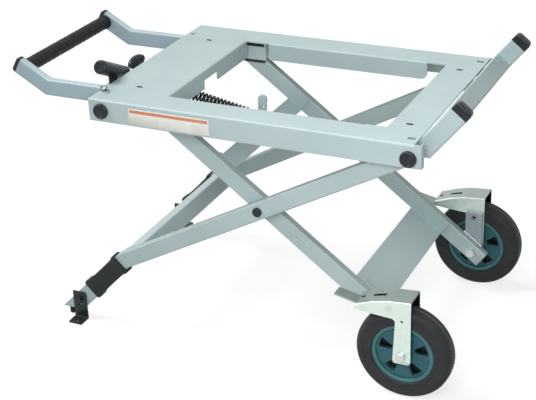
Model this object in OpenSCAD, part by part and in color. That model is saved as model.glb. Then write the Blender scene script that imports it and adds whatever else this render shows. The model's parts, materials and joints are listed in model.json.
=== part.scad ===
// Folding scissor stand for a bench saw, on two braked wheels and two adjustable feet.
// X runs along the length, with the wheels at +X. Y runs across, with the near side at -Y.
// Z is up from the floor. The origin is on the floor, under the middle of the outer box.
// Every place below is first written from the middle of the deck, and "centred" shifts it.

/* [Deck] */
// Height of the deck's top face above the floor
deck_h = 553; // [520:1:580]
// Length of the deck
deck_l = 710; // [680:1:730]
// Width of the deck over its side skirts
deck_w = 510; // [500:2:530]
// Thickness of the folded sheet
sheet = 3; // [2:0.1:3.4]
// Depth of the side skirts below the deck's top face
skirt_h = 48; // [46:1:54]
// How far the skirts run past the deck's right end
skirt_past = 16; // [12:1:22]
// Width of the skirts' inward return at the right end
skirt_return = 14; // [8:1:18]
// Distance from the deck's left end to the cut-out
cut_left_in = 155; // [149:1:165]
// Distance from the deck's right end to the cut-out
cut_right_in = 77; // [71:1:100]
// Distance from the deck's near side to the cut-out
cut_near_in = 67; // [65:1:75]
// Distance from the deck's far side to the cut-out
cut_far_in = 73; // [67:1:79]
// Depth of the flanges folded down round the cut-out
cut_flange_h = 40; // [30:1:42]
// Gap between the rails' right ends and the cut-out's long flanges
rail_flange_gap = 11.2; // [4:0.2:24]
// Distance from the cut-out's right edge to its long flanges
long_flange_right_in = 44; // [42:1:78]
// Radius of the long flanges' lower right corner
long_flange_r = 14; // [6:1:20]
// Width of the notch in the left flange, where the spring rises when folded
notch_w = 63; // [50:1:80]
// Height of that notch
notch_h = 19; // [12:1:24]

/* [Saw mounting] */
// Distance from the deck's left end to the left saw slots
slot_left_in = 69; // [60:1:80]
// Distance from the deck's right end to the right saw slots
slot_right_in = 41; // [32:1:50]
// Spacing of the saw slots across the deck
slot_dy = 320; // [300:1:330]
// Width of a saw slot
slot_w = 7; // [6:0.5:9]
// Length of a saw slot over its round ends
slot_l = 15; // [12:1:20]
// Distance from the deck's right end to the square slots
square_slot_in = 14; // [12:1:17]
// Distance from the deck's sides to the square slots
square_slot_side = 31; // [28:1:35]
// Length of a square slot
square_slot_l = 16; // [10:1:18]
// Width of a square slot
square_slot_w = 11; // [8:1:13]

/* [Scissor] */
// Depth of the leg tubes
tube_h = 38; // [36:0.5:40]
// Width of the leg tubes
tube_w = 19; // [17:0.5:19]
// Wall of every tube
tube_wall = 1.8; // [1.4:0.1:2.4]
// Gap between a skirt's inside and the outer leg
leg_side_gap = 13; // [12:0.5:15]
// Gap between the outer and the inner legs
leg_gap = 5; // [4:0.5:6]
// Distance from the deck's right end to the upper pivots
pivot_in = 10; // [10:1:17]
// Depth of the upper pivots below the deck's top face
pivot_drop = 29; // [28:0.5:30]
// Slope of the outer legs below level, in degrees
outer_slope = 28.2; // [27:0.1:29.2]
// Slope of the outer legs when the stand is folded, in degrees
folded_slope = 12; // [11:0.5:14]
// Outer leg's length from the upper pivot to the centre pivot
pivot_to_centre = 372.2; // [366:0.2:378]
// Inner leg's length from the centre pivot to its slider
centre_to_slider = 291.3; // [286:0.1:297]
// How far the inner legs run on past the axle
leg_past_axle = 30; // [24:1:34]
// Outer leg's length from the centre pivot down to its bend
centre_to_bend = 378.5; // [372:0.5:384]
// Slope of the outer legs' bent ends below level, in degrees
bent_slope = 45.5; // [43:0.5:48]
// Height of the outer legs' cut ends above the floor
leg_end_h = 21; // [18:1:26]
// Diameter of the pivot bolts
bolt_d = 12; // [10:0.5:12]
// Diameter of the caps on the skirts
skirt_cap_d = 33; // [28:1:36]
// Height of the caps on the skirts
skirt_cap_h = 8; // [6:0.5:10]
// Diameter of the caps on the centre pivots
centre_cap_d = 20; // [18:0.5:24]
// Radial play of a turning pin in its bore
pin_play = 0.05; // [0.03:0.01:0.09]

/* [Cross pieces] */
// Distance from the centre pivot to the lower cross beam, along the outer legs
beam_from_centre = 322; // [310:1:326]
// Width of the lower cross beam along the outer legs
beam_w = 47; // [40:1:50]
// Distance from the centre pivot to the upper channel, along the inner legs
channel_from_centre = 100; // [90:1:110]
// Width of the upper channel along the inner legs
channel_w = 41; // [36:1:50]
// Distance from the centre pivot to the wide plate, along the inner legs
plate_from_centre = 239; // [225:1:246]
// Width of the wide plate along the inner legs
plate_w = 90; // [80:1:96]

/* [Slide] */
// Height of the rail walls
rail_h = 32; // [28:1:34]
// Depth of the rails' lower edge below the deck's top face
rail_drop = 45; // [43:1:47]
// Height play of a shoe on its rail
shoe_play = 1.4; // [1.3:0.1:1.6]
// Length of a shoe to the right of its pin
shoe_right = 55; // [40:1:56]
// Length of a shoe to the left of its pin
shoe_left = 34; // [20:1:36]
// Thickness of a shoe's lips
shoe_lip = 5; // [4:0.2:5.6]

/* [Handle] */
// Depth of the handle arms
arm_h = 36; // [32:1:37]
// Distance from the rails' inner faces in to the handle arms
arm_rail_gap = 3; // [3:0.5:7]
// Reach of the handle arms' bend past the deck's left end
arm_bend_out = 151.4; // [140:1:165]
// Rise of the handle arms' ends above level, in degrees
arm_rise = 30; // [25:1:35]
// Length of the raised part of the arms
arm_raised_l = 81; // [75:1:90]
// Distance of the grip from the end of the arms
grip_from_end = 12; // [10:0.5:16]
// Diameter of the grip
grip_d = 32; // [28:1:34]
// Diameter of the bar inside the grip
grip_bar_d = 22; // [18:1:24]
// Length of the arms' end caps
arm_cap_l = 10; // [8:1:14]

/* [Right end feet] */
// How far past the deck's right end the feet bend
foot_bend_out = 9.5; // [9:0.5:13]
// Rise of the feet above level, in degrees
foot_rise = 50.4; // [47:0.2:53]
// Length of the raised tube from the bend to its cap
foot_tube_l = 99; // [92:1:110]
// Length of the black end caps
foot_cap_l = 20; // [16:1:24]
// Radius of the end caps' corners
foot_cap_r = 9; // [5:1:12]
// Distance from the bend to the outer face of the tube between the feet
foot_cross_at = 57; // [50:1:66]
// Distance from the deck's right end to the feet's left ends
foot_root_in = 65; // [55:1:71]

/* [Wheels] */
// Diameter of the wheels
wheel_d = 203; // [198:1:206]
// Width of the tyres
tyre_w = 44; // [40:1:46]
// Distance from a fork's inner arm to the middle of its wheel
wheel_in = 28.5; // [27.5:0.5:29.5]
// Diameter of the rims
rim_d = 130; // [120:1:136]
// Width of the rims
rim_w = 38; // [32:1:40]
// Diameter of the hubs
hub_d = 36; // [30:1:40]
// Number of openings in a rim
rim_openings = 5; // [4:1:6]
// Thickness of the web that closes a rim's openings halfway in
rim_web = 3; // [2:0.5:6]
// Set-back of a rim's spokes from its edge
rim_lip = 5; // [3:0.5:8]
// Thickness of the posts between the inner legs and the forks
post_t = 8; // [6:0.5:9]
// Width of the posts
post_w = 39; // [34:1:42]
// Height of the posts' top above the axle
post_top = 90; // [84:1:100]
// Distance from a fork's inner arm to its outer arm
fork_w = 54; // [53:0.5:56]
// Width of the fork's straight arm
fork_arm_w = 38; // [36:1:42]
// Height of the fork's top above the axle, at its right end
fork_top = 126; // [122:1:130]
// Reach of the fork's left tip from the axle
fork_tip = 99; // [94:1:104]
// Place of the pedal pin left of the axle
pedal_pin_x = 27.5; // [26:0.5:29]
// Height of the pedal pin above the axle
pedal_pin_z = 107; // [106:0.5:109]
// Diameter of the pedal pin
pedal_pin_d = 8; // [6:0.5:8]
// Width of the pedals
pedal_w = 30; // [26:1:36]
// Reach of the pedals' left end from the axle
pedal_reach = 152; // [144:1:160]

/* [Leg ends] */
// Wall of the rubber sleeves
sleeve_wall = 4; // [3:0.1:4]
// Distance from the rubber sleeves to the legs' cut ends
sleeve_to_end = 80; // [76:1:98]
// Distance from the legs' bend to the rubber sleeves
sleeve_from_bend = 10; // [9:1:14]
// Height of the sleeves' end rims
sleeve_rim = 2; // [1:0.1:2.4]
// Width of the foot brackets
foot_bracket_w = 34; // [30:1:38]
// Height of the foot brackets
foot_bracket_h = 68; // [64:1:72]
// Thickness of the foot brackets
foot_bracket_t = 4; // [3:0.2:4.4]
// Radius of the foot brackets' rounded corner
foot_corner_r = 8; // [4:1:12]
// Reach of the foot brackets' sole
foot_sole = 33; // [28:1:36]
// How far the foot brackets' bolt lies left of the leg's middle line
foot_bolt_off = 4.3; // [2:0.1:6]
// Height of that bolt above the floor
foot_bolt_h = 48; // [46:1:50]
// Diameter of that bolt
foot_bolt_d = 8; // [6:0.5:8]
// Upward travel of a foot bracket on its slot
foot_travel = 12; // [8:1:14]

/* [Spring] */
// Diameter of the spring wire
wire_d = 4.5; // [3.5:0.1:5]
// Outer diameter of the spring
spring_d = 30; // [26:0.5:32]
// Number of curls
curls = 24; // [18:1:26]
// Distance from the deck's left end to the spring's anchor
anchor_in = 30; // [25:1:37]
// Depth of the anchor below the deck's top face
anchor_drop = 58.5; // [56:0.5:62]
// Diameter of the rod that holds the anchor
anchor_rod_d = 12; // [10:0.5:14]
// Distance of the spring's hook from the centre pivot, along the inner legs
hook_along = 151; // [148:0.5:153]
// Height of the spring's hook above the inner legs' middle line
hook_up = 13.7; // [11:0.1:16]
// Thickness of the anchor and of the hook bracket
hook_plate_t = 6; // [5:0.5:8]
// Width of the lugs that the spring hooks on
lug_w = 16; // [14:1:18]

/* [Levers] */
// Distance from the deck's left end out to the release handle's stem
stem_out = 23; // [19:1:27]
// Place of the stem on the near side of the middle plane
stem_y = 116; // [112:1:120]
// Diameter of the stem
stem_d = 10; // [8:0.5:12]
// Travel of the release handle
stem_travel = 12; // [8:1:14]
// Height of the release handle's middle above the deck's top face
release_up = 11; // [8:1:16]
// Diameter of the release handle's grip
release_d = 31; // [28:1:33]
// Length of the release handle's grip
release_l = 117; // [110:1:120]
// Tilt of the release handle's grip, in degrees
release_tilt = 26; // [20:1:30]
// Distance from the deck's left end out to the lock paddle's pin
paddle_out = 17; // [15:1:21]
// Middle of the lock paddle on the near side of the middle plane
paddle_y = 16; // [10:1:22]
// Depth of the paddle's pin below its bracket's shelf
paddle_drop = 11; // [10:1:14]
// Length of the paddle from its pin
paddle_l = 47; // [44:1:52]
// Width of the paddle
paddle_w = 62; // [54:1:66]

/* [Bare plate] */
// Distance from the deck's left end to the bare label
label_in = 95; // [85:1:105]
// Length of the bare label
label_l = 185; // [170:1:195]
// Height of the bare label
label_h = 35; // [28:1:37]
// Thickness of the bare label
label_t = 0.5; // [0.3:0.1:0.8]

/* [Hidden] */
$fn = 48;

// Colours of the finishes
PAINT = [0.72, 0.80, 0.81];
PAINT_SHADE = [0.60, 0.68, 0.71];
BLACK = [0.22, 0.24, 0.25];
RUBBER = [0.27, 0.28, 0.29];
TEAL = [0.22, 0.42, 0.50];
ZINC = [0.82, 0.87, 0.86];

// Small fits that several pieces share
seat_gap = 0.3;
eps = 0.1;
// Length of the plugs that hold the end caps in their tubes
cap_plug_l = 16;
// Width of the washers' and spacers' ring round a pivot bolt
washer_rim = 5;
// How far a folded flange is drawn into the sheet that it is folded from
fold_bite = 1;
// The legs' pressed round ends stand this much proud of the tube's edges
end_swell = 0.2;

// Places on the deck, from its middle
deck_end = deck_l / 2;
cut_left = deck_end - cut_left_in;
cut_right = deck_end - cut_right_in;
cut_near = deck_w / 2 - cut_near_in;
cut_far = deck_w / 2 - cut_far_in;
long_flange_x1 = cut_right - long_flange_right_in;
slot_dx = deck_l - slot_left_in - slot_right_in;
slot_mid = (slot_left_in - slot_right_in) / 2;
pivot_x = deck_end - pivot_in;
anchor_x = anchor_in - deck_end;
stem_x = deck_end + stem_out;
paddle_x = deck_end + paddle_out;

// Points of the side view, each as [x, z]
function along(p, a, d, n = 0) = p + d * [cos(a), sin(a)] + n * [-sin(a), cos(a)];
pivot = [pivot_x, deck_h - pivot_drop];
outer_dir = 180 + outer_slope;
centre = along(pivot, outer_dir, pivot_to_centre);
inner_slope = asin(pivot_to_centre * sin(outer_slope) / centre_to_slider);
inner_dir = -inner_slope;
slider = along(centre, inner_dir, -centre_to_slider);
wheel_r = wheel_d / 2;
centre_to_axle = (centre[1] - wheel_r) / sin(inner_slope);
axle = along(centre, inner_dir, centre_to_axle);
bend = along(centre, outer_dir, centre_to_bend);
bent_dir = 180 + bent_slope;
bent_l = (bend[1] - leg_end_h) / sin(bent_slope);
foot_bolt_x = bend[0] - (bend[1] - foot_bolt_h) / tan(bent_slope) - foot_bolt_off;
foot_bolt = [foot_bolt_x, foot_bolt_h];

// Planes across the stand, each as a distance from the middle plane
skirt_in = deck_w / 2 - sheet;
outer_leg_y = skirt_in - leg_side_gap;
outer_leg_in = outer_leg_y - tube_w;
inner_leg_y = outer_leg_in - leg_gap;
inner_leg_in = inner_leg_y - tube_w;
rail_y = inner_leg_in - 8;
arm_y = rail_y - arm_rail_gap;
foot_tube_y = outer_leg_in - leg_gap + 1;
foot_tube_in = foot_tube_y - tube_w;
fork_in_y = inner_leg_y + post_t;
fork_out_y = fork_in_y + fork_w;
wheel_y = fork_in_y + wheel_in;
deck_under = deck_h - sheet;

// Handle and right end feet in the side view
arm_z = deck_under - arm_h / 2;
arm_bend = [-deck_end - arm_bend_out, arm_z];
arm_end = along(arm_bend, 180 - arm_rise, arm_raised_l);
grip_axis = along(arm_end, 180 - arm_rise, -grip_from_end);
foot_bend = [deck_end + foot_bend_out, deck_under - tube_h / 2];
foot_end = along(foot_bend, foot_rise, foot_tube_l);

// The outer box along X runs from the handle's end caps to the end feet's caps
arm_cap_r = 7;
box_left = along(arm_end, 180 - arm_rise, arm_cap_l - arm_cap_r, arm_h / 2 - arm_cap_r)[0] - arm_cap_r;
box_right = along(foot_end, foot_rise, foot_cap_l - foot_cap_r, foot_cap_r - tube_h / 2)[0] + foot_cap_r;
middle_x = (box_left + box_right) / 2;

// Spring ends in the side view
anchor = [anchor_x, deck_h - anchor_drop];
hook = along(centre, inner_dir, -hook_along, hook_up);
spring_vec = hook - anchor;
spring_a = atan2(spring_vec[1], spring_vec[0]);
spring_l = norm(spring_vec) - seat_gap;
coil_r = (spring_d - wire_d) / 2;

module centred() {
    translate([-middle_x, 0, 0]) children();
}

// Far pieces are drawn at +Y, and near pieces are their mirror image
module on_side(side) {
    if (side > 0) children();
    else mirror([0, 1, 0]) children();
}

module on_both() {
    for (side = [-1, 1]) on_side(side) children();
}

// A flat shape of the side view, from y0 outwards by t
module side_view(y0, t) {
    translate([0, y0 + t, 0]) rotate([90, 0, 0]) linear_extrude(t) children();
}

// A round pin along Y at a point of the side view
module pin(p, y0, y1, d) {
    translate([p[0], y1, p[1]]) rotate([90, 0, 0]) cylinder(h = y1 - y0, d = d);
}

module bore(p, y0, y1, d) {
    pin(p, y0 - eps, y1 + eps, d);
}

module hex(p, y0, y1, across) {
    translate([p[0], y1, p[1]]) rotate([90, 0, 0])
        cylinder(h = y1 - y0, d = across / cos(30), $fn = 6);
}

// Local X runs from a point of the side view at a slope, and local Y stays across the stand
module tilted(p, slope) {
    translate([p[0], 0, p[1]]) rotate([0, -slope, 0]) children();
}

// A rounded button along +Y: a round disc with a domed edge
module button(p, y0, h, d) {
    r = h * 0.45;
    translate([p[0], y0, p[1]]) rotate([-90, 0, 0]) rotate_extrude() {
        square([d / 2 - r, h]);
        square([d / 2, h - r]);
        intersection() {
            translate([d / 2 - r, h - r]) circle(r);
            square([d / 2, h]);
        }
    }
}

// Outline of a strip of half width h along a path of three points
function strip(p, h) = let(
    a1 = atan2(p[1][1] - p[0][1], p[1][0] - p[0][0]),
    a2 = atan2(p[2][1] - p[1][1], p[2][0] - p[1][0]),
    turn = (a2 - a1) / 2,
    corner = [-sin(a1 + turn), cos(a1 + turn)] * h / cos(turn))
    [along(p[0], a1, 0, h), p[1] + corner, along(p[2], a2, 0, h),
     along(p[2], a2, 0, -h), p[1] - corner, along(p[0], a1, 0, -h)];

module bar_2d(p, a, l, h) {
    translate(p) rotate(a) translate([0, -h / 2]) square([l, h]);
}

// A block at the end of a bar, its two outer corners rounded
module rounded_end_2d(p, a, l, h, r) {
    translate(p) rotate(a) intersection() {
        union() {
            translate([0, -h / 2]) square([l - r, h]);
            translate([0, r - h / 2]) square([l, h - 2 * r]);
            for (s = [-1, 1]) translate([l - r, s * (h / 2 - r)]) circle(r);
        }
        translate([0, -h]) square([2 * l, 2 * h]);
    }
}

// Sheet metal deck
small_slot_in = 13;
small_slot_side = 68;

module slot_2d(l, w) {
    for (s = [-1, 1]) translate([s * (l - w) / 2, 0]) circle(d = w);
    square([l - w, w], center = true);
}

module deck_openings() {
    translate([-cut_left, -cut_near]) square([cut_left + cut_right, cut_near + cut_far]);
    for (sx = [-1, 1], sy = [-1, 1])
        translate([slot_mid + sx * slot_dx / 2, sy * slot_dy / 2]) slot_2d(slot_l, slot_w);
    for (sy = [-1, 1]) translate([deck_end - square_slot_in, sy * (deck_w / 2 - square_slot_side)])
        square([square_slot_l, square_slot_w], center = true);
    translate([small_slot_in - deck_end, deck_w / 2 - small_slot_side]) slot_2d(12, 5);
}

module cut_flange_2d() {
    z0 = deck_h - cut_flange_h;
    r = long_flange_r;
    l = long_flange_x1 - long_flange_x0;
    h = cut_flange_h - sheet + fold_bite;
    translate([long_flange_x0, z0 + r]) square([l, h - r]);
    translate([long_flange_x0, z0]) square([l - r, h]);
    translate([long_flange_x1 - r, z0 + r]) circle(r);
}

module skirt() {
    z0 = deck_h - skirt_h;
    x1 = deck_end + skirt_past;
    side_view(skirt_in, sheet) translate([-deck_end, z0]) square([deck_l + skirt_past, skirt_h]);
    translate([x1 - sheet, skirt_in - skirt_return, z0]) cube([sheet, skirt_return + eps, skirt_h]);
}

module top_plate() {
    color(PAINT) difference() {
        union() {
            translate([0, 0, deck_under]) linear_extrude(sheet) difference() {
                square([deck_l, deck_w], center = true);
                deck_openings();
            }
            on_both() skirt();
            side_view(cut_far, sheet) cut_flange_2d();
            mirror([0, 1, 0]) side_view(cut_near, sheet) cut_flange_2d();
            left_flange();
        }
        on_both() bore(pivot, skirt_in, deck_w / 2, bolt_d + 2 * pin_play);
        on_both() bore(rail_bolt, skirt_in, deck_w / 2, rail_bolt_d + 2 * pin_play);
    }
}

module left_flange() {
    z0 = deck_h - cut_flange_h;
    difference() {
        translate([-cut_left - sheet, -cut_near, z0])
            cube([sheet, cut_near + cut_far, cut_flange_h - sheet + fold_bite]);
        translate([-cut_left - sheet - eps, -notch_w / 2, z0 - eps])
            cube([sheet + 2 * eps, notch_w, notch_h + eps]);
    }
}

// Rails that the slider shoes run on
rail_z = deck_h - rail_drop;
rail_x0 = sheet - deck_end;
rail_x1 = slider[0] + shoe_right + 1 + sheet;
long_flange_x0 = rail_x1 + rail_flange_gap;
rail_end_drop = 41;
rail_bolt_in = 30;
rail_bolt = [rail_bolt_in - deck_end, deck_h - 24];
rail_bolt_d = 8;
rail_tab_l = 44;

module rail(side) {
    color(PAINT_SHADE) on_side(side) difference() {
        union() {
            translate([rail_x0, rail_y, rail_z]) cube([rail_x1 - rail_x0, sheet, rail_h]);
            for (x = [rail_x0, rail_x1 - sheet])
                translate([x, rail_y, deck_h - rail_end_drop])
                    cube([sheet, skirt_in - rail_y, rail_end_drop - sheet]);
            translate([rail_x0, skirt_in - sheet, deck_h - rail_end_drop])
                cube([rail_tab_l, sheet, rail_end_drop - 2 * sheet]);
        }
        bore(rail_bolt, skirt_in - sheet, skirt_in, rail_bolt_d + 2 * pin_play);
    }
}

module rail_bolts() {
    color(ZINC) on_both() {
        pin(rail_bolt, skirt_in - sheet - 6, deck_w / 2 + 2, rail_bolt_d);
        hex(rail_bolt, skirt_in - sheet - 6, skirt_in - sheet, 13);
    }
}

// Carrying handle
module handle_arm(side) {
    path = [[-cut_left - sheet - 2, arm_z], arm_bend, arm_end];
    inner = [[-cut_left, arm_z], arm_bend, along(arm_end, 180 - arm_rise, 5)];
    color(PAINT) on_side(side) difference() {
        side_view(arm_y - tube_w, tube_w) polygon(strip(path, arm_h / 2));
        side_view(arm_y - tube_w + tube_wall, tube_w - 2 * tube_wall)
            polygon(strip(inner, arm_h / 2 - tube_wall));
    }
}

module handle_bar() {
    color(ZINC) pin(grip_axis, tube_w - arm_y, arm_y - tube_w, grip_bar_d);
}

module handle_grip() {
    gap = 2;
    color(BLACK) difference() {
        pin(grip_axis, tube_w - arm_y + gap, arm_y - tube_w - gap, grip_d);
        bore(grip_axis, -arm_y, arm_y, grip_bar_d + 2 * pin_play);
    }
}

module handle_end_caps() {
    plug = tube_wall + 2 * pin_play;
    color(BLACK) on_both() {
        side_view(arm_y - tube_w, tube_w)
            rounded_end_2d(arm_end, 180 - arm_rise, arm_cap_l, arm_h, arm_cap_r);
        side_view(arm_y - tube_w + plug, tube_w - 2 * plug)
            bar_2d(along(arm_end, 180 - arm_rise, -cap_plug_l), 180 - arm_rise,
                   cap_plug_l + eps, arm_h - 2 * plug);
    }
}

// Spring anchor on a rod between the handle arms
module spring_anchor() {
    rod = [anchor_x, arm_z + 2];
    color(PAINT_SHADE) {
        pin(rod, tube_w - arm_y, arm_y - tube_w, anchor_rod_d);
        side_view(-hook_plate_t / 2, hook_plate_t) {
            bar_2d(anchor, spring_a + 180, lug_w, lug_w);
            translate([anchor_x - lug_w, anchor[1] - 2]) square([lug_w - 4, rod[1] - anchor[1] + 8]);
        }
    }
}

// Caps, bolts and spacers of the upper pivots
module skirt_caps() {
    y0 = deck_w / 2;
    color(BLACK) on_both() {
        difference() {
            button(pivot, y0, skirt_cap_h, skirt_cap_d);
            bore(pivot, y0, y0 + 2, bolt_d + 2 * pin_play);
        }
        difference() {
            button(rail_bolt, y0, skirt_cap_h, skirt_cap_d);
            bore(rail_bolt, y0, y0 + 2, rail_bolt_d + 2 * pin_play);
        }
    }
}

module top_pivot_bolts() {
    color(ZINC) on_both() {
        pin(pivot, foot_tube_in - 7, deck_w / 2 + 2, bolt_d);
        hex(pivot, foot_tube_in - 7, foot_tube_in, 18);
    }
}

module ring(p, y0, y1, d, hole) {
    difference() {
        pin(p, y0, y1, d);
        bore(p, y0, y1, hole);
    }
}

module top_pivot_spacers() {
    hole = bolt_d + 2 * pin_play;
    color(ZINC) on_both() {
        ring(pivot, outer_leg_y + seat_gap, skirt_in, bolt_d + 2 * washer_rim, hole);
        ring(pivot, foot_tube_y, outer_leg_in - seat_gap, bolt_d + 2 * washer_rim, hole);
    }
}

// Feet at the right end, which the folded stand is stood up on
module end_foot(side) {
    root = [deck_end - foot_root_in, foot_bend[1]];
    path = [root, foot_bend, foot_end];
    inner = [root - [5, 0], foot_bend, along(foot_end, foot_rise, 5)];
    color(PAINT) on_side(side) difference() {
        side_view(foot_tube_in, tube_w) polygon(strip(path, tube_h / 2));
        side_view(foot_tube_in + tube_wall, tube_w - 2 * tube_wall)
            polygon(strip(inner, tube_h / 2 - tube_wall));
        bore(pivot, foot_tube_in, foot_tube_y, bolt_d + 2 * pin_play);
    }
}

module end_foot_cross_tube() {
    start = along(foot_bend, foot_rise, foot_cross_at - tube_w);
    inner = along(foot_bend, foot_rise, foot_cross_at - tube_w + tube_wall);
    hole = along(foot_bend, foot_rise, foot_cross_at);
    color(PAINT_SHADE) difference() {
        side_view(-foot_tube_in, 2 * foot_tube_in) bar_2d(start, foot_rise, tube_w, tube_h);
        side_view(-foot_tube_in - eps, 2 * (foot_tube_in + eps))
            bar_2d(inner, foot_rise, tube_w - 2 * tube_wall, tube_h - 2 * tube_wall);
        tilted(hole, foot_rise) translate([0, foot_tube_in - 22, 0]) rotate([0, 90, 0])
            cylinder(h = 8, d = 5, center = true);
    }
}

module end_foot_caps() {
    plug = tube_wall + 2 * pin_play;
    color(BLACK) on_both() {
        side_view(foot_tube_in, tube_w)
            rounded_end_2d(foot_end, foot_rise, foot_cap_l, tube_h, foot_cap_r);
        side_view(foot_tube_in + plug, tube_w - 2 * plug)
            bar_2d(along(foot_end, foot_rise, -cap_plug_l), foot_rise,
                   cap_plug_l + eps, tube_h - 2 * plug);
    }
}

module bare_label() {
    color("white") translate([label_in - deck_end, -deck_w / 2 - label_t, deck_h - skirt_h + 3])
        cube([label_l, label_t, label_h]);
}

// Brackets at the deck's left end, folded down to a shelf that runs out to the left
shelf_z = deck_h - 25;

module drop_shelf(y, w, reach) {
    x0 = -deck_end;
    translate([x0, y - w / 2, deck_under - sheet]) cube([30, w, sheet]);
    translate([x0, y - w / 2, shelf_z]) cube([sheet, w, deck_under - shelf_z]);
    translate([-reach, y - w / 2, shelf_z]) cube([reach + x0 + sheet, w, sheet]);
}

// Release handle, its bracket and its bushing
bracket_w = 36;
stem = [-stem_x, -stem_y];
bushing_d = 20;
bushing_neck_d = bushing_d - 6;

module lever_bracket() {
    color(PAINT) difference() {
        drop_shelf(-stem_y, bracket_w, stem_x + 18);
        translate([stem[0], stem[1], shelf_z - eps])
            cylinder(h = sheet + 2 * eps, d = bushing_neck_d + 2 * pin_play);
    }
}

module lever_bushing() {
    color(BLACK) translate([stem[0], stem[1], 0]) difference() {
        union() {
            translate([0, 0, shelf_z - 12]) cylinder(h = 15 + sheet, d = bushing_neck_d);
            translate([0, 0, shelf_z + sheet]) cylinder(h = 8, d = bushing_d);
        }
        translate([0, 0, shelf_z - 30]) cylinder(h = 60, d = stem_d + 2 * pin_play);
    }
}

release_z = deck_h + release_up;

module release_stem() {
    foot_z = shelf_z - 34;
    color(BLACK) translate([stem[0], stem[1], 0]) {
        translate([0, 0, foot_z]) cylinder(h = release_z - release_d / 4 - foot_z, d = stem_d);
        translate([0, 0, foot_z]) cylinder(h = 4, d = stem_d + 8);
    }
}

module release_grip() {
    r = 6;
    color(BLACK) difference() {
        translate([stem[0], stem[1], release_z]) rotate([90 - release_tilt, 0, 0])
            rotate_extrude() {
                translate([0, -release_l / 2]) square([release_d / 2 - r, release_l]);
                translate([0, r - release_l / 2]) square([release_d / 2, release_l - 2 * r]);
                for (s = [-1, 1]) translate([release_d / 2 - r, s * (release_l / 2 - r)]) circle(r);
            }
        translate([stem[0], stem[1], release_z - 2 * release_d])
            cylinder(h = 2 * release_d - release_d / 4 + eps, d = stem_d + 2 * pin_play);
    }
}

// Lock paddle on its pin
paddle_pin_p = [-paddle_x, shelf_z - paddle_drop];
paddle_pin_d = 8;
ear_t = 4;
ear_y = 24;

module paddle_bracket() {
    half = 10;
    low = paddle_pin_p[1] - half;
    color(PAINT_SHADE) translate([0, -paddle_y, 0]) difference() {
        union() {
            drop_shelf(0, 2 * ear_y, paddle_x + half);
            for (y = [-ear_y, ear_y - ear_t]) translate([paddle_pin_p[0] - half, y, low])
                cube([2 * half, ear_t, shelf_z - low + eps]);
        }
        bore(paddle_pin_p, -ear_y, ear_y, paddle_pin_d + 2 * pin_play);
        translate([paddle_pin_p[0] - 2 * half, ear_t - ear_y, shelf_z - eps])
            cube([3 * half, 2 * (ear_y - ear_t), sheet + 2 * eps]);
    }
}

module paddle_pin() {
    color(ZINC) translate([0, -paddle_y, 0]) {
        pin(paddle_pin_p, -ear_y - 3, ear_y + 3, paddle_pin_d);
    }
}

module lock_paddle() {
    barrel = ear_y - ear_t - seat_gap;
    tilt = 100;
    blade_h = 28;
    blade_t = 12;
    color(BLACK) translate([0, -paddle_y, 0]) difference() {
        union() {
            pin(paddle_pin_p, -barrel, barrel, paddle_pin_d + 8);
            tilted(paddle_pin_p, tilt) {
                translate([0, 4 - barrel, -5]) cube([26, 2 * (barrel - 4), 10]);
                translate([paddle_l - blade_h / 2, 0, -blade_t / 2]) linear_extrude(blade_t)
                    oval_2d(blade_h, paddle_w);
            }
        }
        bore(paddle_pin_p, -ear_y, ear_y, paddle_pin_d + 2 * pin_play);
    }
}

// An oval of length w along Y and width h along X, with round ends
module oval_2d(h, w) {
    for (s = [-1, 1]) translate([0, s * (w - h) / 2]) circle(d = h);
    square([h, w - h], center = true);
}

stud_in = 11;
stud_side = 49;

module corner_stud() {
    color(ZINC) translate([stud_in - deck_end, stud_side - deck_w / 2, 0]) {
        translate([0, 0, deck_h]) cylinder(h = 1.5, d = 18);
        translate([0, 0, deck_h + 1.5]) cylinder(h = 6, d = 13 / cos(30), $fn = 6);
        translate([0, 0, deck_h + 7.5]) cylinder(h = 4, d = 7);
    }
}

// Outer legs and what is fixed to them
module outer_leg(side) {
    low = along(bend, bent_dir, bent_l + 40);
    path = [pivot, bend, low];
    inner = [along(pivot, outer_dir, 24), bend, low];
    color(PAINT) on_side(side) difference() {
        union() {
            side_view(outer_leg_in, tube_w) difference() {
                polygon(strip(path, tube_h / 2));
                translate([low[0] - 100, -100]) square([300, 100 + leg_end_h]);
            }
            pin(pivot, outer_leg_in, outer_leg_y, tube_h + 2 * end_swell);
        }
        side_view(outer_leg_in + tube_wall, tube_w - 2 * tube_wall)
            polygon(strip(inner, tube_h / 2 - tube_wall));
        for (p = [pivot, centre])
            bore(p, outer_leg_in, outer_leg_y, bolt_d + 2 * pin_play);
        bore(foot_bolt, outer_leg_in, outer_leg_y, foot_bolt_d + 2 * pin_play);
    }
}

module lower_cross_beam() {
    start = along(centre, outer_dir, beam_from_centre);
    inner = along(centre, outer_dir, beam_from_centre + tube_wall);
    color(PAINT_SHADE) difference() {
        side_view(-outer_leg_in, 2 * outer_leg_in) bar_2d(start, outer_dir, beam_w, tube_h);
        side_view(-outer_leg_in - eps, 2 * (outer_leg_in + eps))
            bar_2d(inner, outer_dir, beam_w - 2 * tube_wall, tube_h - 2 * tube_wall);
    }
}

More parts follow.
